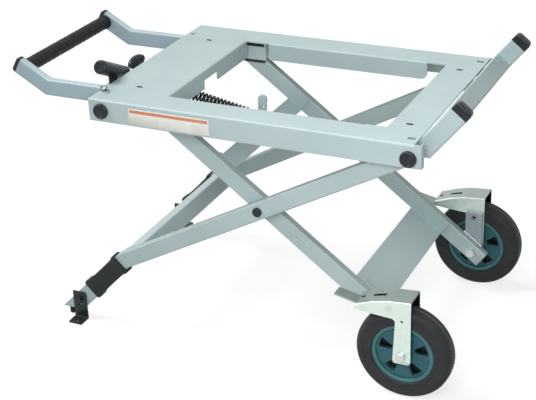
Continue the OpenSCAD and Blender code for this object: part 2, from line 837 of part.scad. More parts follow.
module leg_sleeve(side) {
    start = along(bend, bent_dir, sleeve_from_bend);
    sleeve_l = bent_l - sleeve_from_bend - sleeve_to_end;
    rim_l = 13;
    h = tube_h + 2 * sleeve_wall;
    w = tube_w + 2 * sleeve_wall;
    y0 = outer_leg_in - sleeve_wall;
    color(RUBBER) on_side(side) difference() {
        union() {
            side_view(y0, w) bar_2d(start, bent_dir, sleeve_l, h);
            for (d = [0, sleeve_l - rim_l])
                side_view(y0 - min(sleeve_rim, leg_gap - sleeve_wall - seat_gap),
                          w + sleeve_rim + min(sleeve_rim, leg_gap - sleeve_wall - seat_gap))
                    bar_2d(along(start, bent_dir, d), bent_dir, rim_l, h + 2 * sleeve_rim);
        }
        side_view(outer_leg_in - pin_play, tube_w + 2 * pin_play)
            bar_2d(along(start, bent_dir, -5), bent_dir, sleeve_l + 10, tube_h + 2 * pin_play);
    }
}

// Serrated rubber tips under the cut ends of the outer legs
module leg_tips() {
    teeth = 3;
    tip_x = bend[0] - (bend[1] - leg_end_h) / tan(bent_slope) - 8;
    pitch = (leg_end_h - 2) / teeth;
    color(RUBBER) on_both() translate([tip_x, outer_leg_y - tube_w / 2, 0]) rotate_extrude() {
        translate([0, 2]) square([5, leg_end_h + 8]);
        for (i = [0:teeth - 1]) translate([0, 2 + i * pitch])
            polygon([[0, 0], [5, 0], [7.5, pitch * 0.35], [7.5, pitch * 0.65], [5, pitch], [0, pitch]]);
    }
}

module foot_bolts() {
    out = outer_leg_y + foot_bracket_t + 2 * seat_gap;
    color(BLACK) on_both() {
        pin(foot_bolt, outer_leg_in - 6, out + 1, foot_bolt_d);
        pin(foot_bolt, out, out + 1.6, foot_bolt_d + 10);
        hex(foot_bolt, out + 1, out + 6, 13);
        hex(foot_bolt, outer_leg_in - 6, outer_leg_in, 13);
    }
}

module foot_bracket(side) {
    x0 = foot_bolt_x - foot_bracket_w / 2;
    r = foot_corner_r;
    y0 = outer_leg_y + seat_gap;
    slot = foot_bolt_d + 1;
    color(BLACK) on_side(side) difference() {
        union() {
            side_view(y0, foot_bracket_t) {
                translate([x0, 0]) square([foot_bracket_w, foot_bracket_h - r]);
                translate([x0, 0]) square([foot_bracket_w - r, foot_bracket_h]);
                translate([x0 + foot_bracket_w - r, foot_bracket_h - r]) circle(r);
            }
            translate([x0, y0, 0]) cube([foot_bracket_w, foot_sole, foot_bracket_t]);
        }
        side_view(y0 - eps, foot_bracket_t + 2 * eps) {
            for (z = [0, -foot_travel]) translate(foot_bolt + [0, z]) circle(d = slot);
            translate([foot_bolt_x - slot / 2, foot_bolt_h - foot_travel]) square([slot, foot_travel]);
        }
        translate([foot_bolt_x, y0 + foot_sole - 11, -eps])
            cylinder(h = foot_bracket_t + 2 * eps, d = 7);
    }
}

// Centre pivots
module centre_pivot_bolts() {
    color(ZINC) on_both() {
        pin(centre, inner_leg_in - 7, outer_leg_y + 2, bolt_d);
        hex(centre, inner_leg_in - 7, inner_leg_in - seat_gap, 18);
    }
}

module centre_pivot_caps() {
    color(BLACK) on_both() difference() {
        button(centre, outer_leg_y, 6, centre_cap_d);
        bore(centre, outer_leg_y, outer_leg_y + 2, bolt_d + 2 * pin_play);
    }
}

module centre_washers() {
    color(ZINC) on_both()
        ring(centre, inner_leg_y + seat_gap, outer_leg_in, 26, bolt_d + 2 * pin_play);
}

// Inner legs and what is fixed to them
module inner_leg(side) {
    l = centre_to_slider + centre_to_axle + leg_past_axle;
    color(PAINT) on_side(side) difference() {
        side_view(inner_leg_in, tube_w) {
            bar_2d(slider, inner_dir, l, tube_h);
            translate(slider) circle(tube_h / 2 + end_swell);
        }
        side_view(inner_leg_in + tube_wall, tube_w - 2 * tube_wall)
            bar_2d(along(slider, inner_dir, 22), inner_dir, l, tube_h - 2 * tube_wall);
        for (p = [slider, centre, axle])
            bore(p, inner_leg_in, inner_leg_y, bolt_d + 2 * pin_play);
    }
}

// A folded channel between the inner legs: a web at their lower edge, with end tabs
module channel(d, w) {
    start = along(centre, inner_dir, d);
    side_view(-inner_leg_in, 2 * inner_leg_in)
        bar_2d(along(start, inner_dir, 0, (sheet - tube_h) / 2), inner_dir, w, sheet);
    on_both() side_view(inner_leg_in - sheet, sheet) bar_2d(start, inner_dir, w, tube_h);
}

module upper_channel() {
    color(PAINT_SHADE) channel(-channel_from_centre - channel_w, channel_w);
}

module lower_cross_plate() {
    color(PAINT_SHADE) channel(plate_from_centre, plate_w);
}

// Bracket for the spring's hook. Its round tip stands above the channel
hook_tip_out = 22;
hook_tip_up = 60;
hook_tip_r = 10;
hook_hole_d = 6;
hook_hole = [12, -14];

module hook_bracket() {
    left = -channel_from_centre - channel_w;
    tip = [left - hook_tip_out, hook_tip_up];
    base = sheet - tube_h / 2;
    outline = [[left + 2, base], [-channel_from_centre - 2, base],
               tip + [hook_tip_r - 1, 4], tip - [hook_tip_r, 4],
               [2 - hook_along, hook_up + lug_w / 2], [2 - hook_along, hook_up - lug_w / 2]];
    function on_leg(p) = along(centre, inner_dir, p[0], p[1]);
    color(PAINT_SHADE) side_view(-hook_plate_t / 2, hook_plate_t) difference() {
        union() {
            polygon([for (p = outline) on_leg(p)]);
            translate(on_leg(tip)) circle(hook_tip_r);
            bar_2d(hook, spring_a, lug_w, lug_w);
        }
        translate(on_leg(tip + hook_hole)) circle(d = hook_hole_d);
    }
}

module slider_pins() {
    color(ZINC) on_both() {
        pin(slider, rail_y + sheet + 1, inner_leg_y + 1, bolt_d);
        pin(slider, inner_leg_y, inner_leg_y + 3, bolt_d + 8);
    }
}

module slider_shoe(side) {
    z0 = rail_z - shoe_play - shoe_lip;
    z1 = rail_z + rail_h + shoe_play + shoe_lip;
    x0 = slider[0] - shoe_left;
    l = shoe_left + shoe_right;
    y0 = rail_y + sheet + seat_gap;
    y1 = inner_leg_in - seat_gap;
    color(BLACK) on_side(side) difference() {
        union() {
            translate([x0, y0, z0]) cube([l, y1 - y0, z1 - z0]);
            for (z = [z0, z1 - shoe_lip])
                translate([x0, rail_y + 0.5, z]) cube([l, y1 - rail_y - 0.5, shoe_lip]);
        }
        bore(slider, y0, y1, bolt_d + 2 * pin_play);
    }
}

// Wheel forks, drawn from the axle. The nose's points are [x, depth below the fork's top]
fork_right = 20;
fork_under = 17;
fork_corner_r = 6;
nose_top = [[fork_right, 0], [-28, 4], [-59, 11], [-fork_tip, 25]];
nose_under = [[-fork_tip, 36], [-66, 39]];
nose_root = 42;
nose_fillet = 9;
arm_lean = 5;
fork_hole = [1, 81];
post_hole = [-2, 77];

module fork_arm_2d() {
    r = fork_corner_r;
    left = fork_right - fork_arm_w;
    neck = [left + arm_lean - nose_fillet, fork_top - nose_root - nose_fillet];
    polygon(concat(
        [for (p = nose_top) [p[0], fork_top - p[1]]],
        [for (p = nose_under) [p[0], fork_top - p[1]]],
        [for (a = [90:-15:0]) neck + nose_fillet * [cos(a), sin(a)]],
        [[left, r - fork_under], [fork_right, r - fork_under]]));
    translate([left + r, -fork_under]) square([fork_arm_w - 2 * r, 2 * r]);
    for (x = [left + r, fork_right - r]) translate([x, r - fork_under]) circle(r);
}

module fork_cover_2d() {
    n = len(nose_top);
    polygon(concat(
        [for (p = nose_top) [p[0], fork_top - p[1]]],
        [for (i = [n - 1:-1:0]) [nose_top[i][0], fork_top - nose_top[i][1] - sheet]]));
}

// Openings in the cover: one slot and one round hole beside the pedal
cover_slot_x = [-68, -41];
cover_hole_x = -90;
cover_opening_w = 8;
cover_opening_in = 27;

module fork_cover_openings() {
    w = cover_opening_w;
    translate([axle[0], fork_out_y - cover_opening_in, axle[1] + fork_top / 2]) {
        translate([cover_slot_x[0], -w / 2, 0])
            cube([cover_slot_x[1] - cover_slot_x[0], w, fork_top]);
        translate([cover_hole_x, 0, 0]) cylinder(h = fork_top, d = w);
    }
}

module fork(side) {
    y1 = fork_out_y + sheet;
    color(ZINC) on_side(side) difference() {
        translate([axle[0], 0, axle[1]]) {
            for (y = [fork_in_y, fork_out_y]) side_view(y, sheet) fork_arm_2d();
            side_view(fork_in_y, y1 - fork_in_y) fork_cover_2d();
        }
        bore(axle, fork_in_y, y1, bolt_d + 2 * pin_play);
        bore(pedal_pin_p, fork_in_y, y1, pedal_pin_d + 2 * pin_play);
        bore(axle + fork_hole, fork_out_y, y1, 5);
        bore(axle + post_hole, fork_in_y, fork_in_y + sheet, 10);
        fork_cover_openings();
    }
}

// Posts that stand the forks off the inner legs, their lower edge cut along the leg
module fork_posts() {
    edge_in = 2.5;
    l = 2 * post_top;
    color(PAINT) on_both() difference() {
        side_view(inner_leg_y, post_t) translate(axle) intersection() {
            translate([fork_right - 2 - post_w, -post_top]) square([post_w, 2 * post_top]);
            rotate(inner_dir) translate([-l, edge_in - tube_h / 2]) square([2 * l, l]);
        }
        bore(axle, inner_leg_y, fork_in_y, bolt_d + 2 * pin_play);
        bore(axle + post_hole, inner_leg_y, fork_in_y, 11);
    }
}

module axle_bolts() {
    y1 = fork_out_y + sheet;
    color(ZINC) on_both() {
        pin(axle, inner_leg_in - 10, y1 + 1, bolt_d);
        button(axle, y1, 7, 20);
        hex(axle, inner_leg_in - 9, inner_leg_in, 18);
    }
}

module axle_washers() {
    hole = bolt_d + 2 * pin_play;
    d = bolt_d + 2 * washer_rim;
    hub_half = tyre_w / 2;
    color(ZINC) on_both() {
        ring(axle, fork_in_y + sheet, wheel_y - hub_half - seat_gap, d, hole);
        ring(axle, wheel_y + hub_half + seat_gap, fork_out_y, d, hole);
    }
}

pedal_pin_p = axle + [-pedal_pin_x, pedal_pin_z];

module pedal_pins() {
    y1 = fork_out_y + sheet;
    color(ZINC) on_both() {
        pin(pedal_pin_p, fork_in_y, y1 + 1, pedal_pin_d);
        pin(pedal_pin_p, y1, y1 + 2, pedal_pin_d + 4);
    }
}

// Wheels, drawn from the middle of the tyre and turned to lie along Y
module wheel_round(side) {
    on_side(side) translate([axle[0], wheel_y, axle[1]]) rotate([-90, 0, 0]) children();
}

module tyre(side) {
    r = 13;
    half = tyre_w / 2;
    seat = rim_d / 2 + pin_play;
    color(RUBBER) wheel_round(side) rotate_extrude($fn = 96) intersection() {
        union() {
            translate([seat, -half]) square([wheel_r - r - seat, tyre_w]);
            translate([seat, r - half]) square([wheel_r - seat, tyre_w - 2 * r]);
            for (s = [-1, 1]) translate([wheel_r - r, s * (half - r)]) circle(r);
        }
        translate([seat, -half]) square([wheel_r, tyre_w]);
    }
}

module rim_opening_2d() {
    r0 = 26;
    r1 = 52;
    half_in = 11;
    half_out = 14;
    polygon(concat(
        [for (a = [-half_out:half_out / 2:half_out]) r1 * [cos(a), sin(a)]],
        [for (a = [half_in:-half_in:-half_in]) r0 * [cos(a), sin(a)]]));
}

module rim(side) {
    half = rim_w / 2;
    spoke = rim_w - 2 * rim_lip;
    edge_t = 6;
    color(TEAL) wheel_round(side) difference() {
        rotate_extrude($fn = 96) {
            translate([bolt_d / 2 + pin_play, -tyre_w / 2])
                square([(hub_d - bolt_d) / 2 - pin_play, tyre_w]);
            translate([hub_d / 2 - 1, -spoke / 2]) square([rim_d / 2 - hub_d / 2 - 4, spoke]);
            translate([rim_d / 2 - edge_t, -half]) square([edge_t, rim_w]);
        }
        for (i = [0:rim_openings - 1], z = [rim_web / 2, -rim_web / 2 - rim_w])
            rotate([0, 0, i * 360 / rim_openings - 90]) translate([0, 0, z])
                linear_extrude(rim_w) rim_opening_2d();
    }
}

// Brake pedals, drawn from the axle: a bent strip with a pad that meets the tyre
pedal_points = [[-pedal_reach, 101], [-106, 91], [-80, 90]];
pedal_pad = [-57, 95];
pedal_pad_l = 8;
pedal_side_gap = 2;

module pedal_strip_2d() {
    t = sheet;
    path = [for (p = pedal_points) axle + p];
    all = concat(path, [pedal_pin_p]);
    for (i = [0:len(path) - 1]) let(step = all[i + 1] - all[i])
        bar_2d(all[i], atan2(step[1], step[0]), norm(step), t);
    for (i = [1:len(path) - 1]) translate(path[i]) circle(d = t);
}

module brake_pedal(side) {
    y0 = fork_in_y + sheet + pedal_side_gap;
    barrel0 = fork_in_y + sheet + seat_gap;
    barrel1 = fork_out_y - seat_gap;
    color(PAINT_SHADE) on_side(side) difference() {
        union() {
            side_view(y0, pedal_w) pedal_strip_2d();
            side_view(y0, pedal_w) translate(axle + pedal_pad) square(pedal_pad_l);
            pin(pedal_pin_p, barrel0, barrel1, pedal_pin_d + 4);
        }
        bore(pedal_pin_p, fork_in_y, fork_out_y, pedal_pin_d + 2 * pin_play);
    }
}

// Spring wire: one tube that runs straight, winds out to the coil and winds back in
rings_per_curl = 8;
wire_sides = 6;
lead = 1.5 * wire_d;
coil_rings = curls * rings_per_curl;
function ease(t) = t <= 0 ? 0 : t >= 1 ? 1 : t * t * (3 - 2 * t);
function wind_out(i) = ease(min(i, coil_rings - i) / rings_per_curl);
function wire_at(i) = let(
    r = coil_r * wind_out(i),
    a = 360 * i / rings_per_curl,
    s = i < 0 ? 0 : i > coil_rings ? spring_l : lead + (spring_l - 2 * lead) * i / coil_rings)
    [s, r * cos(a), r * sin(a)];
function wire_dir(i) = let(
    v = i <= 0 || i >= coil_rings ? [1, 0, 0] : wire_at(i + 1) - wire_at(i - 1)) v / norm(v);
function wire_ring(i) = let(
    a = 360 * i / rings_per_curl,
    t = wire_dir(i),
    out = [0, cos(a), sin(a)],
    e = out - t * (out * t),
    e1 = e / norm(e),
    e2 = cross(t, e1))
    [for (k = [0:wire_sides - 1]) let(b = 360 * k / wire_sides)
        wire_at(i) + wire_d / 2 * (cos(b) * e1 + sin(b) * e2)];
wire_rings = [for (i = [-1:coil_rings + 1]) wire_ring(i)];
wire_gap = min([for (i = [0:coil_rings - 6], j = [i + 6:min(i + 12, coil_rings)])
    norm(wire_at(i) - wire_at(j))]) - wire_d;
echo(least_gap_of_spring = wire_gap);

module scissor_spring() {
    n = len(wire_rings);
    points = [for (ring = wire_rings, p = ring) p];
    sides = [for (i = [0:n - 2], k = [0:wire_sides - 1]) let(
        a = i * wire_sides + k,
        b = i * wire_sides + (k + 1) % wire_sides)
        each [[a, b, b + wire_sides], [a, b + wire_sides, a + wire_sides]]];
    ends = [for (k = [1:wire_sides - 2])
        each [[0, k + 1, k],
              [(n - 1) * wire_sides, (n - 1) * wire_sides + k, (n - 1) * wire_sides + k + 1]]];
    color(BLACK) translate([anchor[0], 0, anchor[1]]) rotate([0, -spring_a, 0])
        polyhedron(points, concat(sides, ends));
}

centred() top_plate();
centred() rail(-1);  // rail_near
centred() rail(1);  // rail_far
centred() rail_bolts();
centred() handle_arm(-1);  // handle_arm_near
centred() handle_arm(1);  // handle_arm_far
centred() handle_bar();
centred() handle_grip();
centred() handle_end_caps();
centred() spring_anchor();
centred() skirt_caps();
centred() top_pivot_bolts();
centred() top_pivot_spacers();
centred() end_foot(-1);  // end_foot_near
centred() end_foot(1);  // end_foot_far
centred() end_foot_cross_tube();
centred() end_foot_caps();
centred() bare_label();
centred() lever_bracket();
centred() lever_bushing();
centred() paddle_bracket();
centred() paddle_pin();
centred() corner_stud();
centred() outer_leg(-1);  // outer_leg_near
centred() outer_leg(1);  // outer_leg_far
centred() lower_cross_beam();
centred() leg_sleeve(-1);  // leg_sleeve_near
centred() leg_sleeve(1);  // leg_sleeve_far
centred() leg_tips();
centred() foot_bolts();
centred() centre_pivot_bolts();
centred() centre_pivot_caps();
centred() centre_washers();
centred() inner_leg(-1);  // inner_leg_near
centred() inner_leg(1);  // inner_leg_far
centred() upper_channel();
centred() hook_bracket();
centred() lower_cross_plate();
centred() slider_pins();
centred() fork(-1);  // fork_near
centred() fork(1);  // fork_far
centred() fork_posts();
centred() axle_bolts();
centred() axle_washers();
centred() pedal_pins();
centred() tyre(-1);  // tyre_near
centred() rim(-1);  // rim_near
centred() tyre(1);  // tyre_far
centred() rim(1);  // rim_far
centred() slider_shoe(-1);  // slider_shoe_near
centred() slider_shoe(1);  // slider_shoe_far
centred() brake_pedal(-1);  // brake_pedal_near
centred() brake_pedal(1);  // brake_pedal_far
centred() release_stem();
centred() release_grip();
centred() lock_paddle();
centred() foot_bracket(-1);  // foot_bracket_near
centred() foot_bracket(1);  // foot_bracket_far
centred() scissor_spring();
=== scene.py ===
"""Looks of the folding saw stand: finishes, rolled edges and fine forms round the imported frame.

All lengths are metres. X runs along the stand towards the wheels, Y across it
with the near side at -Y, and Z up from the floor.
"""

import json
import math
import random

import bmesh
import bpy
from mathutils import Matrix, Vector, geometry, noise


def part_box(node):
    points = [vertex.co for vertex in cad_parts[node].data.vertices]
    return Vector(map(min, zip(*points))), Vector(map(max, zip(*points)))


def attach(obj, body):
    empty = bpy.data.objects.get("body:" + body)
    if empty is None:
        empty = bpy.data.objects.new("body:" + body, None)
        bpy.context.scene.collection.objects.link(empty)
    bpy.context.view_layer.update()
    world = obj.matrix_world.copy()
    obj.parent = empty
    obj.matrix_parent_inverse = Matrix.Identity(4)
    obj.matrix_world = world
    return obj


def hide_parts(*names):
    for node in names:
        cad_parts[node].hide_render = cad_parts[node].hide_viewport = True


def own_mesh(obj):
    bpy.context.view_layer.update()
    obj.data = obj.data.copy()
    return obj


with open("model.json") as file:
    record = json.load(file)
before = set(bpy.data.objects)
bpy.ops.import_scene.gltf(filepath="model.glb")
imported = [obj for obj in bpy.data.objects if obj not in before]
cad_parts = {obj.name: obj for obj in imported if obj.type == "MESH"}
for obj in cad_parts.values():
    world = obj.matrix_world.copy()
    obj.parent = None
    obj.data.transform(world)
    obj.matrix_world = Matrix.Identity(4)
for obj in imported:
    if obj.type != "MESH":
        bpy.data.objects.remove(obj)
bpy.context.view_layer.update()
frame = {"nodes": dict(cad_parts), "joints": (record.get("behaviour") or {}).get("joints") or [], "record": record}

random.seed(7)

MM = 0.001
nodes = frame["nodes"]
record = frame["record"]
joint_at = {j["name"]: Vector(j["pos_m"]) for j in frame["joints"] if "pos_m" in j}
slot_of = {part["node"]: part["material_slot"] for part in record["subparts"]}
body_of = {node: body for body, names in record["behaviour"]["bodies"].items() for node in names}
SIDES = {"near": -1, "far": 1}
UP = Vector((0, 0, 1))
ACROSS = Vector((0, 1, 0))

# Sizes that the frame's boxes don't give directly
TUBE_W = 19 * MM
TUBE_H = 38 * MM
SHEET = 3 * MM
OUTER_SLOPE = math.radians(28.2)
BENT_SLOPE = math.radians(45.5)
INNER_SLOPE = math.radians(37.14)
FOOT_RISE = math.radians(50.4)
ARM_RISE = math.radians(30)
RELEASE_TILT = math.radians(26)
SPRING_CURLS = 24
SPRING_WIRE = 4.5 * MM
SPRING_D = 30 * MM
SAME_PLACE = 0.001 * MM
EDGE_ROUND = 0.4 * MM


def srgb(red, green, blue):
    """A colour given as 0 to 255, as Blender's linear RGBA."""
    def linear(v):
        v /= 255
        return v / 12.92 if v <= 0.04045 else ((v + 0.055) / 1.055) ** 2.4
    return (linear(red), linear(green), linear(blue), 1)


# Finishes

class Finish:
    """A material whose node tree is built one node at a time."""

    def __init__(self, name, **sockets):
        self.material = bpy.data.materials.new(name)
        self.material.use_nodes = True
        self.tree = self.material.node_tree
        self.shader = self.tree.nodes["Principled BSDF"]
        for socket, value in sockets.items():
            self.shader.inputs[socket.replace("_", " ")].default_value = value
        coords = self.tree.nodes.new("ShaderNodeTexCoord")
        self.place = coords.outputs["Object"]
        self.facing = coords.outputs["Normal"]

    def node(self, kind, inputs=None, **settings):
        made = self.tree.nodes.new("ShaderNode" + kind)
        for key, value in settings.items():
            setattr(made, key, value)
        for key, value in (inputs or {}).items():
            if isinstance(value, bpy.types.NodeSocket):
                self.tree.links.new(value, made.inputs[key])
            else:
                made.inputs[key].default_value = value
        return made

    def noise(self, size, detail=3.0, stretch=(1, 1, 1)):
        """Noise whose lumps are about size across, in metres, and longer where stretch is above 1."""
        scaled = self.node("Mapping", {"Vector": self.place, "Scale": [1 / (size * s) for s in stretch]})
        return self.node("TexNoise", {"Vector": scaled.outputs[0], "Scale": 1.0,
                                      "Detail": detail}).outputs["Fac"]

    def cells(self, size):
        scaled = self.node("Mapping", {"Vector": self.place, "Scale": [1 / size] * 3})
        return self.node("TexVoronoi", {"Vector": scaled.outputs[0], "Scale": 1.0}).outputs["Color"]

    def between(self, value, low, high, out_low=0.0, out_high=1.0):
        return self.node("MapRange", {"Value": value, "From Min": low, "From Max": high,
                                      "To Min": out_low, "To Max": out_high}).outputs[0]

    def part(self, vector, axis):
        """One coordinate of a vector."""
        return self.node("SeparateXYZ", {"Vector": vector}).outputs[axis]

    def off(self, value, middle):
        """How far a value is from a middle value, either way."""
        apart = self.node("Math", {0: value, 1: middle}, operation="SUBTRACT").outputs[0]
        return self.node("Math", {0: apart}, operation="ABSOLUTE").outputs[0]

    def radius(self, centre):
        """Distance from an axis along Y through centre."""
        flat = self.node("VectorMath", {0: self.place, 1: (1, 0, 1)}, operation="MULTIPLY").outputs[0]
        return self.node("VectorMath", {0: flat, 1: (centre.x, 0, centre.z)}, operation="DISTANCE").outputs[1]

    def scaled(self, colour, factor):
        return self.node("VectorMath", {0: colour, "Scale": factor}, operation="SCALE").outputs[0]

    def mix(self, share, first, second):
        mixed = self.node("Mix", data_type="RGBA")
        for index, value in ((0, share), (6, first), (7, second)):
            if isinstance(value, bpy.types.NodeSocket):
                self.tree.links.new(value, mixed.inputs[index])
            else:
                mixed.inputs[index].default_value = value
        return mixed.outputs[2]

    def colour(self, socket):
        self.tree.links.new(socket, self.shader.inputs["Base Color"])

    def rough(self, socket):
        self.tree.links.new(socket, self.shader.inputs["Roughness"])

    def bump(self, height, strength, depth):
        """Adds one layer of bump, over the layers that are there already."""
        made = self.node("Bump", {"Height": height, "Strength": strength, "Distance": depth})
        normal = self.shader.inputs["Normal"]
        if normal.is_linked:
            self.tree.links.new(normal.links[0].from_socket, made.inputs["Normal"])
        self.tree.links.new(made.outputs[0], normal)


def painted_steel(name, light, dark, top=None):
    """Satin blue-grey paint: fine orange peel, faint clouds, and a few rubbed places.

    Where top is given, faces that look up take that colour in specks: dust, and painted light or shade for how the
    light falls on their tops.
    """
    f = Finish(name, Metallic=0.05, Roughness=0.42, Specular_IOR_Level=0.3)
    clouds = f.between(f.noise(90 * MM), 0.3, 0.7)
    flakes = f.noise(0.5 * MM, 1)
    base = f.mix(clouds, dark, light)
    rubbed = f.between(f.noise(5 * MM, 5, stretch=(7, 7, 1)), 0.69, 0.75, 0, 0.35)
    base = f.mix(rubbed, base, [min(1, c * 1.12) for c in light[:3]] + [1])
    # Specks of top on upward faces: dust, and painted light or shade on the tops.
    if top:
        upward = f.between(f.part(f.facing, "Z"), 0.6, 0.8)
        speck = f.between(f.noise(2.5 * MM, 3), 0.4, 0.6, 0.6, 1.0)
        top_dust_and_shading = f.node("Math", {0: upward, 1: speck}, operation="MULTIPLY").outputs[0]
        base = f.mix(top_dust_and_shading, base, top)
    f.colour(f.mix(f.between(flakes, 0.35, 0.65, 0, 0.12), base, [c * 0.8 for c in dark[:3]] + [1]))
    f.rough(f.between(f.noise(24 * MM), 0.3, 0.7, 0.36, 0.46))
    f.bump(f.noise(1.3 * MM, 2), 0.12, 0.15 * MM)
    return f.material


def moulded(name, colour, rough=0.42, grain=0.7 * MM, depth=0.12 * MM, shine=0.2):
    """Moulded plastic or rubber: fine grain, dust in clouds, and rub marks."""
    f = Finish(name, Specular_IOR_Level=shine)
    dusty = [c * 1.3 + 0.003 for c in colour[:3]] + [1]
    f.colour(f.mix(f.between(f.noise(22 * MM, 4), 0.42, 0.75, 0, 0.4), colour, dusty))
    f.rough(f.between(f.noise(14 * MM, 4), 0.3, 0.7, rough - 0.07, rough + 0.1))
    f.bump(f.noise(grain, 2), 0.5, depth)
    return f.material


def plated(name, colour, rough=0.3, grain=(14, 1, 1), top=1.0, within=None):
    """Zinc plate: bright, with faint crystals and fine rolling lines.

    Faces that look up are toned by top, as painted shade, and those inside a fork, less than within from its
    middle, are painted dark as shade.
    """
    f = Finish(name, Metallic=0.75)
    crystals = f.between(f.cells(5 * MM), 0.0, 1.0, 0, 0.3)
    stained = [c * v for c, v in zip(colour[:3], (0.78, 0.83, 0.78))] + [1]
    base = f.mix(crystals, colour, stained)
    base = f.mix(f.between(f.noise(16 * MM, 4), 0.5, 0.8, 0, 0.5), base, stained)
    # Painted shade on faces that look up, scaled by top.
    upward = f.between(f.part(f.facing, "Z"), 0.75, 0.93)
    side = base
    # Painted shade inside the fork.
    if within:
        low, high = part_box("fork_near")
        across = f.off(f.part(f.place, "Y"), 0)
        depth = f.off(across, abs(low.y + high.y) / 2)
        side = f.mix(f.between(depth, within, within + 0.5 * MM), srgb(38, 44, 42), base)
    f.colour(f.mix(upward, side, f.scaled(base, top)))
    f.rough(f.between(f.noise(0.9 * MM, 3, stretch=grain), 0.3, 0.7, rough - 0.08, rough + 0.14))
    f.bump(f.noise(0.7 * MM, 2, stretch=grain), 0.2, 0.06 * MM)
    return f.material


def tyre_finish():
    """Solid grey rubber with fine mould marks and a worn seam round the middle of the tread."""
    f = Finish("tyre_rubber", Specular_IOR_Level=0.2)
    axle = joint_at["wheel_spin_near"]
    low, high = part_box("tyre_near")
    on_seam = f.off(f.radius(axle), (high.z - low.z) / 2)
    rubber = f.mix(f.between(f.noise(20 * MM, 4), 0.4, 0.8, 0, 0.6), srgb(50, 52, 53), srgb(61, 63, 63))
    f.colour(f.mix(f.between(on_seam, 0.2 * MM, 0.45 * MM, 0.75, 0), rubber, srgb(126, 129, 128)))
    f.rough(f.between(f.noise(6 * MM, 4), 0.3, 0.7, 0.5, 0.68))
    f.bump(f.noise(0.9 * MM, 3), 0.5, 0.12 * MM)
    return f.material


def rim_finish():
    """Blue-green plastic, with painted shade deep in the pockets."""
    f = Finish("rim_plastic", Roughness=0.42, Specular_IOR_Level=0.25)
    low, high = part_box("tyre_near")
    across = f.off(f.part(f.place, "Y"), 0)
    depth = f.off(across, abs(low.y + high.y) / 2)
    base = f.mix(f.between(f.noise(18 * MM, 4), 0.35, 0.75), srgb(54, 102, 113), srgb(62, 112, 120))
    # Painted shade: darker with depth into the pockets.
    f.colour(f.mix(f.between(depth, 3 * MM, 12.5 * MM), srgb(10, 17, 21), base))
    f.bump(f.noise(0.8 * MM, 2), 0.4, 0.1 * MM)
    return f.material


def label_finish():
    """Bare film: smooth, pale, with a faint warm tone where it has aged."""
    f = Finish("bare_label", Roughness=0.32)
    f.colour(f.mix(f.between(f.noise(30 * MM), 0.3, 0.7), srgb(238, 238, 233), srgb(228, 227, 219)))
    f.bump(f.noise(3 * MM, 2), 0.15, 0.05 * MM)
    return f.material


def strip_finish():
    """The coloured strip on the film."""
    f = Finish("label_strip", Roughness=0.32)
    f.colour(f.mix(f.between(f.noise(12 * MM), 0.3, 0.7), srgb(226, 150, 116), srgb(214, 134, 100)))
    f.bump(f.noise(3 * MM, 2), 0.15, 0.05 * MM)
    return f.material


finishes = {
    "painted_steel": painted_steel("painted_steel", srgb(193, 212, 213), srgb(185, 204, 206)),
    "black_plastic": moulded("black_plastic", srgb(23, 30, 37), 0.28, shine=0.35),
    "grip_rubber": moulded("grip_rubber", srgb(28, 32, 33), 0.5, 1.1 * MM, 0.2 * MM),
    "black_rubber": moulded("black_rubber", srgb(42, 47, 47), 0.55, 1.0 * MM, 0.15 * MM),
    "black_steel": moulded("black_steel", srgb(32, 37, 39), 0.34, 0.9 * MM, 0.08 * MM, 0.3),
    "tyre_rubber": tyre_finish(),
    "rim_plastic": rim_finish(),
    "zinc_steel": plated("zinc_steel", srgb(206, 212, 208), 0.26, (1, 1, 1)),
    # The fork's zinc, with painted shade on its top and inside the fork.
    "fork_sheet": plated("fork_sheet", srgb(216, 230, 222), 0.36, top=0.58, within=26.5 * MM),
    "bare_label": label_finish(),
}
# Leg paint, with darker specks on faces that look up: dust, and painted shade on the tops.
LEG_PAINT_DUST_AND_SHADE = painted_steel("leg_paint_dust_and_shade", srgb(193, 212, 213), srgb(185, 204, 206), srgb(158, 176, 171))
# Arm paint: a darker copy of the paint as painted shade on the sides, with painted light in specks on faces that
# look up.
ARM_PAINT_LIT_AND_SHADED = painted_steel("arm_paint_lit_and_shaded", srgb(177, 199, 207), srgb(168, 190, 199), srgb(206, 223, 225))
# Post paint: a darker copy of the leg paint, as painted shade.
POST_PAINT_SHADED = painted_steel("post_paint_shaded", srgb(176, 192, 197), srgb(158, 173, 180))
# Post welds: a bright zinc-like finish, lighter than the paint round them, as painted highlight on the bead.
WELD_STEEL_HIGHLIGHT = plated("weld_steel_highlight", srgb(190, 195, 203), 0.3, (1, 1, 1))
# Pedal plate: a darker copy of the fork's zinc, darker again on faces that look up: painted shade under the fork.
PEDAL_STEEL_SHADED = plated("pedal_steel_shaded", srgb(168, 182, 175), 0.38, top=0.75)
# The rim's bead: a lighter copy of the rim plastic, as painted highlight.
RIM_BEAD_HIGHLIGHT = moulded("rim_bead_highlight", srgb(78, 128, 132), 0.4)
# Painted shade for the walls inside the slots.
SLOT_SHADE = moulded("slot_painted_shade", srgb(9, 12, 12), 0.7, shine=0.05)


# Mesh helpers

def finished(piece, node, material=None):
    """Gives a new piece its body, its slot and its finish, from the CAD node that it belongs to."""
    piece.data.materials.clear()
    piece.data.materials.append(material or finishes[slot_of[node]])
    bpy.context.scene.collection.objects.link(piece)
    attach(piece, body_of[node])
    return piece


